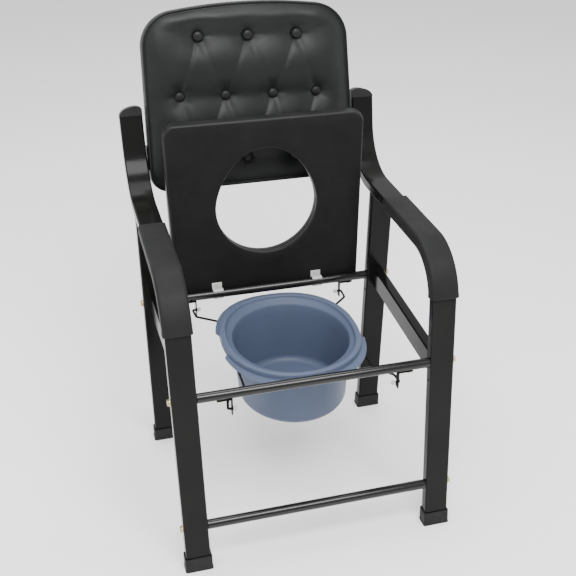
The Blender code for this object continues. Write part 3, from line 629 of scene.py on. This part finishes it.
def backrest_relief(points, outline, spots):
    """Height of the buttoned front over its border plane."""
    xs, ys, height = membrane(outline, spots)
    blown = sample(xs, ys, height, points)
    relief = PUFF * np.power(np.clip(blown, 0.0, 1.0), PUFF_POWER)
    upper, middle, lower = spots
    pleats = list(zip(upper, middle)) + list(zip(middle[1:], lower))
    for start, end in pleats:
        share, side = segment_coordinates(points, start, end)
        fall = np.where(side > 0.0, PLEAT_EASY, PLEAT_STEEP)
        relief -= PLEAT_DEEP * np.exp(-np.abs(side) / fall) * fade(share, 0.10)
    soft_pleats = list(zip(upper, middle[1:])) + list(zip(middle, lower))
    for start, end in soft_pleats:
        share, side = segment_coordinates(points, start, end)
        relief -= SOFT_PLEAT_DEEP * np.exp(-(side / SOFT_PLEAT_WIDE) ** 2) * fade(share, 0.2)
    relief += roll_relief(points, upper)
    for spot in upper + middle + lower:
        relief += button_relief(points - spot, spot[0] * 40.0)
    return relief


def roll_relief(points, upper):
    """The valley along the top row of buttons, and the crest of the roll over it."""
    first = np.polyfit([spot[0] for spot in upper], [spot[1] for spot in upper], 1)
    over = points[:, 1] - np.polyval(first, points[:, 0])
    inward = np.clip((ROLL_HALF - np.abs(points[:, 0])) / ROLL_END, 0.0, 1.0)
    fall = np.where(over > ROLL_FOOT, ROLL_STEEP, ROLL_EASY)
    valley = ROLL_VALLEY * np.exp(-((over - ROLL_FOOT) / fall) ** 2)
    crest = ROLL_CREST * np.exp(-((over - ROLL_CREST_RISE) / ROLL_CREST_WIDE) ** 2)
    return (crest - valley) * inward


def button_relief(away, phase):
    """The socket a button sits in, the puckers round it, and a crease to each side."""
    reach = np.hypot(away[:, 0], away[:, 1])
    turn = np.arctan2(away[:, 1], away[:, 0])
    relief = -SOCKET_DEEP * np.exp(-np.clip(reach - SOCKET_RADIUS, 0.0, None) / SOCKET_FALL)
    pucker = np.exp(-((reach - PUCKER_RADIUS) / PUCKER_WIDE) ** 2)
    relief += PUCKER_DEEP * np.cos(5.0 * turn + phase) * pucker
    for aim in (0.0, pi):
        wedge = np.exp(-(np.arctan2(np.sin(turn - aim), np.cos(turn - aim)) / CREASE_ANGLE) ** 2)
        relief -= CREASE_DEEP * wedge * np.exp(-np.clip(reach - CREASE_START, 0.0, None) / CREASE_FALL)
    return relief


def column_limits(outline, columns):
    """Lowest and highest point of the outline over each column of the panel."""
    straight = outline[:, 0] / back_half(outline[:, 1])
    right = np.argmax(straight)
    loop = np.roll(np.arange(len(outline)), -right)
    ordered, lean = outline[loop], straight[loop]
    left = np.argmin(lean)
    upper = ordered[:left + 1][::-1], lean[:left + 1][::-1]
    lower = ordered[left:], lean[left:]
    top = np.interp(columns, upper[1], upper[0][:, 1])
    bottom = np.interp(columns, lower[1], lower[0][:, 1])
    return bottom, top


def make_backrest():
    outline = backrest_outline()
    spots = button_spots()
    # the grid's lines crowd together towards the panel's edges
    span = np.linspace(-1.0, 1.0, BACK_COLUMNS)
    columns = 0.45 * span + 0.55 * np.sin(span * pi / 2)
    lift = np.linspace(-1.0, 1.0, BACK_ROWS)
    rows = 0.5 + 0.5 * (0.55 * lift + 0.45 * np.sin(lift * pi / 2))
    bottom, top = column_limits(outline, columns)
    s = bottom[None, :] + rows[:, None] * (top - bottom)[None, :]
    x = columns[None, :] * back_half(s)
    points = np.stack([x.ravel(), s.ravel()], axis=1)
    distance = edge_distance(points, outline)
    relief = backrest_relief(points, outline, spots)
    border = 1.0 - np.exp(-np.clip(distance - BORDER_FLAT, 0.0, None) / BORDER_RISE)
    relief = relief * border - SEAM_DEEP * np.exp(-((distance - SEAM_INSET) / SEAM_WIDE) ** 2)
    relief -= EDGE_DROP * np.exp(-distance / EDGE_WIDE)
    grid = np.concatenate([points, relief[:, None]], axis=1) + BACK_ORIGIN
    bm = bmesh.new()
    count = len(columns)
    verts = [bm.verts.new(p) for p in back_plane.world(grid)]
    for j in range(len(rows) - 1):
        for i in range(count - 1):
            a = j * count + i
            bm.faces.new((verts[a], verts[a + 1], verts[a + count + 1], verts[a + count]))
    last = (len(rows) - 1) * count
    rim = list(range(count)) + [j * count + count - 1 for j in range(1, len(rows))]
    rim += [last + i for i in range(count - 2, -1, -1)] + [j * count for j in range(len(rows) - 2, 0, -1)]
    flat = points[rim]
    normals = outward(flat)
    previous = [verts[i] for i in rim]
    for depth, grow in BACK_SIDE:
        ring = at_height(flat + normals * grow, depth) + BACK_ORIGIN
        current = [bm.verts.new(p) for p in back_plane.world(ring)]
        for i in range(len(rim)):
            j = (i + 1) % len(rim)
            bm.faces.new((previous[j], previous[i], current[i], current[j]))
        previous = current
    bm.faces.new(previous)
    bmesh.ops.remove_doubles(bm, verts=bm.verts, dist=0.00002)
    bmesh.ops.recalc_face_normals(bm, faces=bm.faces)
    mesh = bpy.data.meshes.new("backrest_tufted")
    bm.to_mesh(mesh)
    bm.free()
    cushion = add_piece("backrest_tufted", mesh, VINYL, "frame", ("backrest_cushion",), 50.0)
    offset = BACK_ORIGIN[:2]
    welt = resampled(outline - outward(outline) * WELT_INSET, OUTLINE_STEP) + offset
    make_piping("backrest_piping", welt, BACK_ORIGIN[2] + 0.0002, back_plane, VINYL, "frame")
    make_back_cover(outline + offset)
    make_buttons(spots)


def make_piping(name, outline, height, plane, material, body):
    """A welt cord round a panel's edge."""
    out = np.array([0.0, 0.0, 1.0])
    rings = []
    for (x, y), (nx, ny) in zip(outline, outward(outline)):
        centre = np.array([x, y, height])
        side = np.array([nx, ny, 0.0])
        rings.append(plane.world(tube_ring(centre, side, out, WELT_RADIUS, 10)))
    return add_piece(name, loft(name, rings, closed_loop=True), material, body)


def make_back_cover(outline):
    """The covered board behind the cushion, with rounded edges and a shallow crown."""
    normals = outward(outline)
    board = Plane("backrest_board", *back_plane.axes)
    front, rear = board.high[2], board.low[2]
    centre = outline.mean(axis=0)
    rings = [at_height(outline + normals * grow, front + drop) for grow, drop in BOARD_FRONT_EDGE]
    rings += [at_height(outline + normals * grow, rear + rise) for grow, rise in BOARD_REAR_EDGE]
    edge = outline - normals * 0.003
    rings += [at_height(centre + (edge - centre) * share, rear - bulge) for share, bulge in BOARD_CROWN]
    mesh = loft("backrest_back", [board.world(r) for r in rings], cap_ends=True)
    add_piece("backrest_back", mesh, VINYL, "frame", ("backrest_board",))
    stitched = resampled(outline - normals * STITCH_INSET, STITCH_STEP)
    make_stitches("backrest_back_stitches", stitched, rear - 0.0006, board, "frame")


def make_stitches(name, outline, height, plane, body):
    """Short raised threads in a row."""
    bm = bmesh.new()
    out = np.array([0.0, 0.0, 1.0])
    for (x, y), (nx, ny) in zip(outline, outward(outline)):
        along = np.array([-ny, nx, 0.0])
        side = np.array([nx, ny, 0.0])
        centre = np.array([x, y, height])
        rings = []
        for step, radius in STITCH_PROFILE:
            ring = plane.world(tube_ring(centre + along * step, side, out, radius, 6))
            rings.append([bm.verts.new(p) for p in ring])
        for low, high in zip(rings, rings[1:]):
            for i in range(6):
                bm.faces.new((low[i], low[(i + 1) % 6], high[(i + 1) % 6], high[i]))
        bm.faces.new(list(reversed(rings[0])))
        bm.faces.new(rings[-1])
    bmesh.ops.recalc_face_normals(bm, faces=bm.faces)
    mesh = bpy.data.meshes.new(name)
    bm.to_mesh(mesh)
    bm.free()
    return add_piece(name, mesh, THREAD, body)


def make_buttons(spots):
    """Vinyl-covered buttons: a dome over a turned-in edge."""
    across, up = np.identity(3)[:2]
    for row, places in enumerate(spots, start=1):
        for column, spot in enumerate(places, start=1):
            rings = []
            for radius, height in BUTTON_PROFILE:
                centre = np.array([spot[0], spot[1], height])
                ring = np.array(tube_ring(centre, across, up, radius, 32))
                rings.append(back_plane.world(ring + BACK_ORIGIN))
            name = f"backrest_button_{row}_{column}"
            mesh = loft(name + "_covered", rings, cap_ends=True)
            add_piece(name + "_covered", mesh, BUTTON_VINYL, "frame", (name,))


# ---------------------------------------------------------------- seat: padding wrapped round a lined board

SEAT_HALF_TAIL = 0.214
SEAT_HALF_NOSE = 0.221
SEAT_CORNER = 0.025
SEAT_TAIL_CORNER = 0.012
HOLE_RADIUS = 0.1145
HOLE_NOSE = 0.133
HOLE_SHARPNESS = 1.65
HOLE_FROM_TAIL = 0.207

# gathers round the two corners at the seat's front edge
GATHER_DEEP = 0.0018
GATHER_RATE = 31.0
GATHER_SPREAD = 0.62

# the padding's skin: (distance, height) from the hole's edge, over the top, and from the outer edge
HOLE_SIDE = (
    (0.0140, 0.0002), (0.0026, 0.0002), (0.0007, 0.0007), (0.0, 0.0022), (-0.0002, 0.0092),
    (0.0005, 0.0104), (0.0018, 0.0112), (0.0006, 0.0120), (0.0, 0.0134), (-0.0002, 0.0205),
    (0.0006, 0.0262), (0.0028, 0.0322), (0.0070, 0.0376), (0.0125, 0.0414), (0.0195, 0.0440),
    (0.0255, 0.0452),
)
TOP_SHARES = (0.35, 0.5, 0.65)
TOP_HEIGHT = 0.0462
EDGE_SIDE = (
    (0.0290, 0.0456), (0.0200, 0.0450), (0.0130, 0.0436), (0.0078, 0.0412), (0.0038, 0.0374),
    (0.0012, 0.0325), (0.0, 0.0270), (-0.0006, 0.0200), (-0.0006, 0.0120), (-0.0002, 0.0060),
    (0.0006, 0.0026), (0.0020, 0.0008), (0.0036, 0.0002), (0.0140, 0.0002),
)

# the lining's edges: (distance, height) at the hole and at the outer edge
LINING_HOLE_SIDE = ((0.0032, 0.0006), (0.0024, 0.0001), (0.0032, -0.0002), (0.0200, -0.0002))
LINING_EDGE_SIDE = ((0.0300, -0.0002), (0.0054, -0.0002), (0.0046, 0.0001), (0.0052, 0.0006))

seat_plane = Plane("seat_cushion", (-1.0, 0.0, 0.0), (0.0, sin(SEAT_LEAN), cos(SEAT_LEAN)),
                   (0.0, cos(SEAT_LEAN), -sin(SEAT_LEAN)))
board_plane = Plane("seat_board", *seat_plane.axes)
SEAT_MIDDLE = (seat_plane.low[0] + seat_plane.high[0]) / 2
SEAT_TAIL_Y = seat_plane.low[1]
SEAT_NOSE_Y = seat_plane.high[1]
HOLE_CENTRE = np.array([SEAT_MIDDLE, SEAT_TAIL_Y + HOLE_FROM_TAIL])


def seat_outline():
    corners = [(SEAT_MIDDLE + SEAT_HALF_TAIL, SEAT_TAIL_Y), (SEAT_MIDDLE + SEAT_HALF_NOSE, SEAT_NOSE_Y),
               (SEAT_MIDDLE - SEAT_HALF_NOSE, SEAT_NOSE_Y), (SEAT_MIDDLE - SEAT_HALF_TAIL, SEAT_TAIL_Y)]
    radii = [SEAT_TAIL_CORNER, SEAT_CORNER, SEAT_CORNER, SEAT_TAIL_CORNER]
    return counter_clockwise(resampled(rounded(corners, radii, 44), OUTLINE_STEP))


def hole_radius(angles):
    """Distance from the hole's centre to its edge, round the egg."""
    turn = np.linspace(0.0, 2 * pi, 721)
    rise = np.clip(np.sin(turn), 0.0, 1.0)
    wide = HOLE_RADIUS * np.sqrt(np.clip(1.0 - rise ** HOLE_SHARPNESS, 0.0, 1.0)) * np.sign(np.cos(turn))
    x = np.where(np.sin(turn) <= 0.0, HOLE_RADIUS * np.cos(turn), wide)
    y = np.where(np.sin(turn) <= 0.0, HOLE_RADIUS * np.sin(turn), HOLE_NOSE * rise)
    polar = np.arctan2(y, x)
    order = np.argsort(polar)
    return np.interp(angles, polar[order], np.hypot(x, y)[order], period=2 * pi)


def seat_hole(outline):
    """The hole's edge, one point on the line from its centre to each point of the outline."""
    away = outline - HOLE_CENTRE
    angles = np.arctan2(away[:, 1], away[:, 0])
    rays = np.stack([np.cos(angles), np.sin(angles)], axis=1)
    return HOLE_CENTRE + rays * hole_radius(angles)[:, None]


def gathered(flat, rise, under):
    """A ring of the padding's skin, drawn into small folds round the front corners, at its height."""
    heights = np.full(len(flat), under + rise)
    shifted = flat.copy()
    for side in (-1.0, 1.0):
        corner = np.array([SEAT_MIDDLE + side * (SEAT_HALF_NOSE - SEAT_CORNER), SEAT_NOSE_Y - SEAT_CORNER])
        offset = flat - corner
        reach = np.hypot(offset[:, 0], offset[:, 1])
        turn = np.arctan2(offset[:, 1], offset[:, 0])
        off_middle = turn - (pi / 4 if side > 0 else 3 * pi / 4)
        near = np.exp(-(np.arctan2(np.sin(off_middle), np.cos(off_middle)) / GATHER_SPREAD) ** 2)
        near *= np.clip((reach - 0.012) / 0.010, 0.0, 1.0) * np.clip((0.042 - rise) / 0.012, 0.0, 1.0)
        fold = GATHER_DEEP * np.cos(GATHER_RATE * turn + side) * near
        shifted += offset / np.maximum(reach, 1e-6)[:, None] * fold[:, None]
        heights -= 0.4 * np.abs(fold) * (rise < 0.001)
    heights = np.maximum(heights, under + 0.0002)
    return np.concatenate([shifted, heights[:, None]], axis=1)


def make_seat():
    """The padding, wrapped under the board's edges, and the flat lining a little inside them."""
    outline = seat_outline()
    hole = seat_hole(outline)
    across = outline - hole
    rays = across / np.linalg.norm(across, axis=1)[:, None]
    under = board_plane.low[2]
    rings = [(hole + rays * distance, rise) for distance, rise in HOLE_SIDE]
    rings += [(hole + across * share, TOP_HEIGHT) for share in TOP_SHARES]
    rings += [(outline - rays * distance, rise) for distance, rise in EDGE_SIDE]
    skins = [seat_plane.world(gathered(flat, rise, under)) for flat, rise in rings]
    mesh = loft("seat_padding", skins, closed_loop=True)
    cushion = add_piece("seat_padding", mesh, SEAT_VINYL, "seat", ("seat_cushion",), 60.0)
    smooth = cushion.modifiers.new("smooth_skin", "SUBSURF")
    smooth.levels = 1
    smooth.render_levels = 1
    rings = [at_height(hole + rays * distance, under + rise) for distance, rise in LINING_HOLE_SIDE]
    rings += [at_height(outline - rays * distance, under + rise) for distance, rise in LINING_EDGE_SIDE]
    mesh = loft("seat_lining", [board_plane.world(r) for r in rings], closed_loop=True)
    add_piece("seat_lining", mesh, LINING, "seat", ("seat_board",))


# ---------------------------------------------------------------- arm pads

# the front leg and the arm under the pads
LEG_LEAN = radians(7.49)
SPLAY = radians(0.52)
LEG_X = 0.258
LEG_FOOT_Y = -0.3372
ARM_TOP = 0.6085
ELBOW_RADIUS = 0.1125

# a pad's lower end, and its section
PAD_FRONT_Z = 0.520
PAD_INNER = 0.0256
PAD_OUTER = 0.0281
PAD_SKIRT = -0.0200
PAD_TOP = 0.0058
PAD_SHOULDER = 0.0062
PAD_FLARE = 0.0005

# a pad's ends: distance in from the end, and how much its outer skin shrinks there
PAD_ENDS = ((0.0, 0.0016), (0.0004, 0.0008), (0.0010, 0.0003), (0.0018, 0.0))


def pad_line(rear_y):
    """Points (y, z) along the arm's top and the leg's front, from the rear end to the lower end."""
    elbow = np.array([LEG_FOOT_Y + tan(LEG_LEAN) * ARM_TOP, ARM_TOP])
    turn = pi / 2 - LEG_LEAN
    tangent = ELBOW_RADIUS * tan(turn / 2)
    centre = np.array([elbow[0] + tangent, ARM_TOP - ELBOW_RADIUS])
    line = [np.array([y, ARM_TOP]) for y in np.linspace(rear_y, centre[0], 30)]
    for k in range(1, 45):
        a = pi / 2 + turn * k / 45
        line.append(centre + ELBOW_RADIUS * np.array([cos(a), sin(a)]))
    line = np.array(line)
    above = line[line[:, 1] > PAD_FRONT_Z + 0.001]
    below = line[len(above)]
    share = (above[-1][1] - PAD_FRONT_Z) / (above[-1][1] - below[1])
    return np.concatenate([above, [above[-1] + (below - above[-1]) * share]])


def pad_section():
    """The pad's section (across, outward): crowned top, soft shoulders, skirts, and the tube's hollow."""
    arch = [(PAD_OUTER - 0.0004, PAD_SKIRT + 0.0006), (PAD_OUTER, PAD_SKIRT + 0.0030),
            (PAD_OUTER + 0.0002, -0.006), (PAD_OUTER, -0.0005)]
    for k in range(9):
        a = radians(90.0) * k / 8
        arch.append((PAD_OUTER - PAD_SHOULDER + PAD_SHOULDER * cos(a), (PAD_TOP - 0.0003) * sin(a)))
    crown = [(x, PAD_TOP - 0.0003 + 0.0006 * cos(x / 0.022 * pi / 2)) for x in np.linspace(0.018, 0.0, 7)]
    right = arch + crown
    left = [(-x, t) for x, t in right[-2::-1]]
    under = [(-PAD_OUTER + 0.0012, PAD_SKIRT), (-PAD_INNER, PAD_SKIRT + 0.0004), (-PAD_INNER, 0.0006),
             (PAD_INNER, 0.0006), (PAD_INNER, PAD_SKIRT + 0.0004), (PAD_OUTER - 0.0012, PAD_SKIRT)]
    return np.array(right + left + under)


def make_arm_pad(side, sign):
    line = pad_line(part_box("arm_pad_" + side)[1].y)
    steps = np.gradient(line, axis=0)
    steps /= np.linalg.norm(steps, axis=1)[:, None]
    normals = np.stack([steps[:, 1], -steps[:, 0]], axis=1)
    normals *= np.sign(normals[0, 1])
    section = pad_section()
    is_outer = (np.abs(section[:, 0]) > PAD_INNER + 0.0001) | (section[:, 1] > 0.001)
    lengths = np.concatenate([[0.0], np.cumsum(np.linalg.norm(np.diff(line, axis=0), axis=1))])
    total = lengths[-1]
    stations = list(PAD_ENDS) + [(l, 0.0) for l in lengths if 0.004 < l < total - 0.004]
    stations += [(total - distance, shrink) for distance, shrink in reversed(PAD_ENDS)]
    lean = Matrix.Rotation(sign * SPLAY, 3, "Y")
    rings = []
    for length, shrink in stations:
        centre = np.array([np.interp(length, lengths, line[:, k]) for k in (0, 1)])
        normal = np.array([np.interp(length, lengths, normals[:, k]) for k in (0, 1)])
        normal /= np.linalg.norm(normal)
        bottom = np.clip((length - total + 0.012) / 0.008, 0.0, 1.0)
        ring = []
        for (across, out), outer in zip(section, is_outer):
            if outer:
                across -= np.sign(across) * min(shrink, abs(across))
                across += np.sign(across) * PAD_FLARE * bottom
                if out > 0.001:
                    out += PAD_FLARE * bottom
                out += -shrink if out > -0.004 else 0.4 * shrink
            point = Vector((across, centre[0] + normal[0] * out, centre[1] + normal[1] * out))
            ring.append(lean @ point + Vector((sign * LEG_X, 0.0, 0.0)))
        rings.append(ring)
    mesh = loft("arm_cover_" + side, rings, cap_ends=True)
    pad = add_piece("arm_cover_" + side, mesh, ARM_FOAM, "frame", ("arm_pad_" + side,), 50.0)


# ---------------------------------------------------------------- pail

# ovals round the pail's axis: half width, half depth and squareness
RIM_OUTER = (0.1485, 0.1655, 2.2)
RIM_INNER = (0.1340, 0.1520, 2.2)
FLANGE = (0.1560, 0.1860, 2.35)
MOUTH = (0.1275, 0.1395, 2.0)
BASE = (0.1180, 0.1260, 2.0)
BODY_SHIFTS = {MOUTH: 0.002, BASE: 0.006}

PAIL_WALL = 0.0025
SHELF_DROP = 0.0142
SHELF_LIP = 0.0035
FLOOR_CORNER = 0.0155
BASE_CORNER = 0.018
BEAD_WIDE = 0.0046
BEAD_TALL = 0.0040
FLANGE_EDGE = ((-0.0022, 0.0027), (-0.0008, 0.0024), (0.0, 0.0013), (-0.0006, 0.0003), (-0.0020, 0.0))
NOTCH_HALF = 0.043


def pail_oval(shape, grow, z):
    """A rounded-square ring of points, grown evenly and shifted with the pail's body."""
    half_x, half_y, square = shape[0] + grow, shape[1] + grow, shape[2]
    points = []
    for k in range(144):
        c, s = cos(2 * pi * k / 144), sin(2 * pi * k / 144)
        reach = (abs(c / half_x) ** square + abs(s / half_y) ** square) ** (-1.0 / square)
        points.append((reach * c + BODY_SHIFTS.get(shape, 0.0), reach * s, z))
    return np.array(points)


def notched(ring, rim):
    """Draws the flange in to the rim over a hand's width at each side."""
    share = np.clip((np.abs(ring[:, 1]) - NOTCH_HALF + 0.0035) / 0.0050, 0.0, 1.0)
    share = share * share * (3.0 - 2.0 * share)
    ring = ring.copy()
    ring[:, 0] = ring[:, 0] * share + rim[:, 0] * (1.0 - share)
    return ring


def pail_wall(upper, lower, grow, shares, z_from, z_to):
    """Ovals part of the way between two shapes, from one height to another."""
    rings = []
    for share in shares:
        ring = pail_oval(upper, grow, 0.0) * (1 - share) + pail_oval(lower, grow, 0.0) * share
        ring[:, 2] = z_from + (z_to - z_from) * share
        rings.append(ring)
    return rings


def pail_bowl(base, shelf):
    """The inside, from the middle of the floor up to the shelf under the rim."""
    floor = base + PAIL_WALL
    rings = []
    for share in (0.02, 0.25, 0.5, 0.75, 0.9):
        rings.append(pail_oval(BASE, 0.0, floor + 0.0003) * (share, share, 1.0))
    for angle in range(-90, 1, 10):
        a = radians(angle)
        inset = FLOOR_CORNER * (cos(a) - 1.0) - PAIL_WALL
        rings.append(pail_oval(BASE, inset, floor + FLOOR_CORNER * (1.0 + sin(a))))
    rings += pail_wall(BASE, MOUTH, -PAIL_WALL, (0.2, 0.4, 0.6, 0.8, 0.97), floor + FLOOR_CORNER, shelf)
    rings.append(pail_oval(MOUTH, -0.0016, shelf + 0.0002))
    rings.append(pail_oval(MOUTH, -0.0004, shelf + 0.0014))
    return rings


def pail_rim(shelf, rim):
    """The upright rim with its bead, and the flange outside it."""
    rings = [pail_oval(RIM_INNER, -0.0016, shelf + 0.0050), pail_oval(RIM_INNER, -0.0002, shelf + 0.0066),
             pail_oval(RIM_INNER, 0.0014, rim - 0.0050)]
    bead = rim - BEAD_TALL
    for k in range(6):
        a = radians(18.0 * k)
        rings.append(pail_oval(RIM_INNER, 0.0062 - BEAD_WIDE * cos(a), bead + BEAD_TALL * sin(a)))
    for k in range(6):
        a = radians(90.0 - 18.0 * k)
        rings.append(pail_oval(RIM_OUTER, BEAD_WIDE * cos(a) - BEAD_WIDE, bead + BEAD_TALL * sin(a)))
    rings.append(pail_oval(RIM_OUTER, 0.0002, shelf + 0.0040))
    rings.append(pail_oval(RIM_OUTER, 0.0006, shelf + 0.0028))
    neck = pail_oval(RIM_OUTER, 0.0008, shelf)
    return rings + [notched(pail_oval(FLANGE, grow, shelf + rise), neck) for grow, rise in FLANGE_EDGE]


def pail_outside(base, shelf):
    """The outside, from under the flange down to the middle of the base."""
    rings = [pail_oval(MOUTH, 0.0030, shelf), pail_oval(MOUTH, 0.0008, shelf - 0.0012),
             pail_oval(MOUTH, 0.0, shelf - SHELF_LIP)]
    rings += pail_wall(MOUTH, BASE, 0.0, (0.2, 0.4, 0.6, 0.8), shelf - SHELF_LIP, base + BASE_CORNER)
    for angle in range(0, -91, -10):
        a = radians(angle)
        rings.append(pail_oval(BASE, BASE_CORNER * (cos(a) - 1.0), base + BASE_CORNER * (1.0 + sin(a))))
    rings.append(pail_oval(BASE, -BASE_CORNER - 0.004, base + 0.0004))
    rings.append(pail_oval(BASE, -BASE_CORNER - 0.006, base + 0.0010))
    for share in (0.6, 0.3, 0.02):
        rings.append(pail_oval(BASE, 0.0, base + 0.0010) * (share, share, 1.0))
    return rings


def make_pail():
    low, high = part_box("pail")
    middle = np.array([(low.x + high.x) / 2, (low.y + high.y) / 2, 0.0])
    rim, base = high.z, low.z
    shelf = rim - SHELF_DROP
    rings = pail_bowl(base, shelf) + pail_rim(shelf, rim) + pail_outside(base, shelf)
    mesh = loft("pail_moulded", [ring + middle for ring in rings], cap_ends=True)
    add_piece("pail_moulded", mesh, PAIL_PLASTIC, "pail", ("pail",), 60.0)


# ---------------------------------------------------------------- small rivets on the legs' inner faces

RIVET_RADIUS = 0.0036
RIVET_HEIGHT = 0.0013
RIVET_DROP = 0.040
RIVET_PROFILE = ((1.0, 0.0), (0.92, 0.6), (0.6, 0.95), (0.2, 1.0))


def make_rivet(name, node, bar, lean, sign):
    """A low dark head on the inner face of a leg, a little under the seat's cross bar."""
    low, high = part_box(bar)
    face = low.x if sign < 0 else high.x
    z = (low.z + high.z) / 2 - RIVET_DROP
    y = (low.y + high.y) / 2 - tan(lean) * RIVET_DROP
    x = face + sign * (0.0006 - sin(SPLAY) * RIVET_DROP)
    along, up = Vector((0.0, 1.0, 0.0)), Vector((0.0, 0.0, 1.0))
    rings = []
    for radius, out in RIVET_PROFILE:
        centre = Vector((x - sign * out * RIVET_HEIGHT, y, z))
        rings.append(tube_ring(centre, along, up, radius * RIVET_RADIUS, 20))
    add_piece(name, loft(name, rings, cap_ends=True), CAP_PLASTIC, node_body(node))


for side, sign in (("left", -1.0), ("right", 1.0)):
    make_rivet("rivet_front_" + side, "side_frame_" + side, "cross_bar_front", LEG_LEAN, sign)
for side, sign in (("left", -1.0), ("right", 1.0)):
    make_rivet("rivet_rear_" + side, "rear_leg_" + side, "cross_bar_rear", 0.0, sign)
make_backrest()
make_seat()
make_arm_pad("left", -1.0)
make_arm_pad("right", 1.0)
make_pail()


# ---------------------------------------------------------------- camera, floor and light

FLOOR_GREY = 0.93
WORLD_STRENGTH = 1.05
LIT_POINT = Vector((0.0, 0.0, 0.5))

# the soft boxes: place, width and height, and power
SOFTBOXES = {
    "key_softbox": ((0.0, -2.0, 3.5), (2.4, 1.8), 190.0),
    "top_softbox": ((-0.2, 0.8, 3.3), (2.6, 1.8), 75.0),
    "left_strip": ((-2.6, -0.6, 1.6), (1.6, 2.4), 30.0),
    "right_strip": ((2.6, -1.4, 1.5), (1.0, 2.0), 16.0),
}


def add_camera():
    level = Vector((sin(CAMERA_YAW), cos(CAMERA_YAW), 0.0))
    forward = level * cos(CAMERA_PITCH) - Vector((0.0, 0.0, sin(CAMERA_PITCH)))
    right = Vector((cos(CAMERA_YAW), -sin(CAMERA_YAW), 0.0))
    up = right.cross(forward)
    right, up = (right * cos(CAMERA_ROLL) + up * sin(CAMERA_ROLL),
                 up * cos(CAMERA_ROLL) - right * sin(CAMERA_ROLL))
    data = bpy.data.cameras.new("camera")
    data.lens = CAMERA_LENS
    data.sensor_width = 36.0
    data.clip_end = 60.0
    camera = bpy.data.objects.new("camera", data)
    turn = Matrix((right, up, -forward)).transposed()
    camera.matrix_world = Matrix.Translation(CAMERA_PLACE) @ turn.to_4x4()
    SCENE.collection.objects.link(camera)
    SCENE.camera = camera


def add_floor():
    bm = bmesh.new()
    bmesh.ops.create_grid(bm, x_segments=2, y_segments=2, size=30.0)
    mesh = bpy.data.meshes.new("studio_floor")
    bm.to_mesh(mesh)
    bm.free()
    floor = bpy.data.objects.new("studio_floor", mesh)
    material = bpy.data.materials.new("studio_floor")
    material.use_nodes = True
    shader = material.node_tree.nodes["Principled BSDF"]
    shader.inputs["Base Color"].default_value = (FLOOR_GREY, FLOOR_GREY, FLOOR_GREY, 1.0)
    shader.inputs["Roughness"].default_value = 0.9
    mesh.materials.append(material)
    SCENE.collection.objects.link(floor)


def add_softbox(name, place, size, power):
    data = bpy.data.lights.new(name, "AREA")
    data.shape = "RECTANGLE"
    data.size, data.size_y = size
    data.energy = power
    light = bpy.data.objects.new(name, data)
    light.location = place
    light.rotation_euler = (LIT_POINT - Vector(place)).to_track_quat("-Z", "Y").to_euler()
    SCENE.collection.objects.link(light)


def add_studio():
    world = bpy.data.worlds.new("studio")
    world.use_nodes = True
    background = world.node_tree.nodes["Background"]
    background.inputs["Color"].default_value = (1.0, 1.0, 1.0, 1.0)
    background.inputs["Strength"].default_value = WORLD_STRENGTH
    SCENE.world = world
    for name, (place, size, power) in SOFTBOXES.items():
        add_softbox(name, place, size, power)


add_camera()
add_floor()
add_studio()
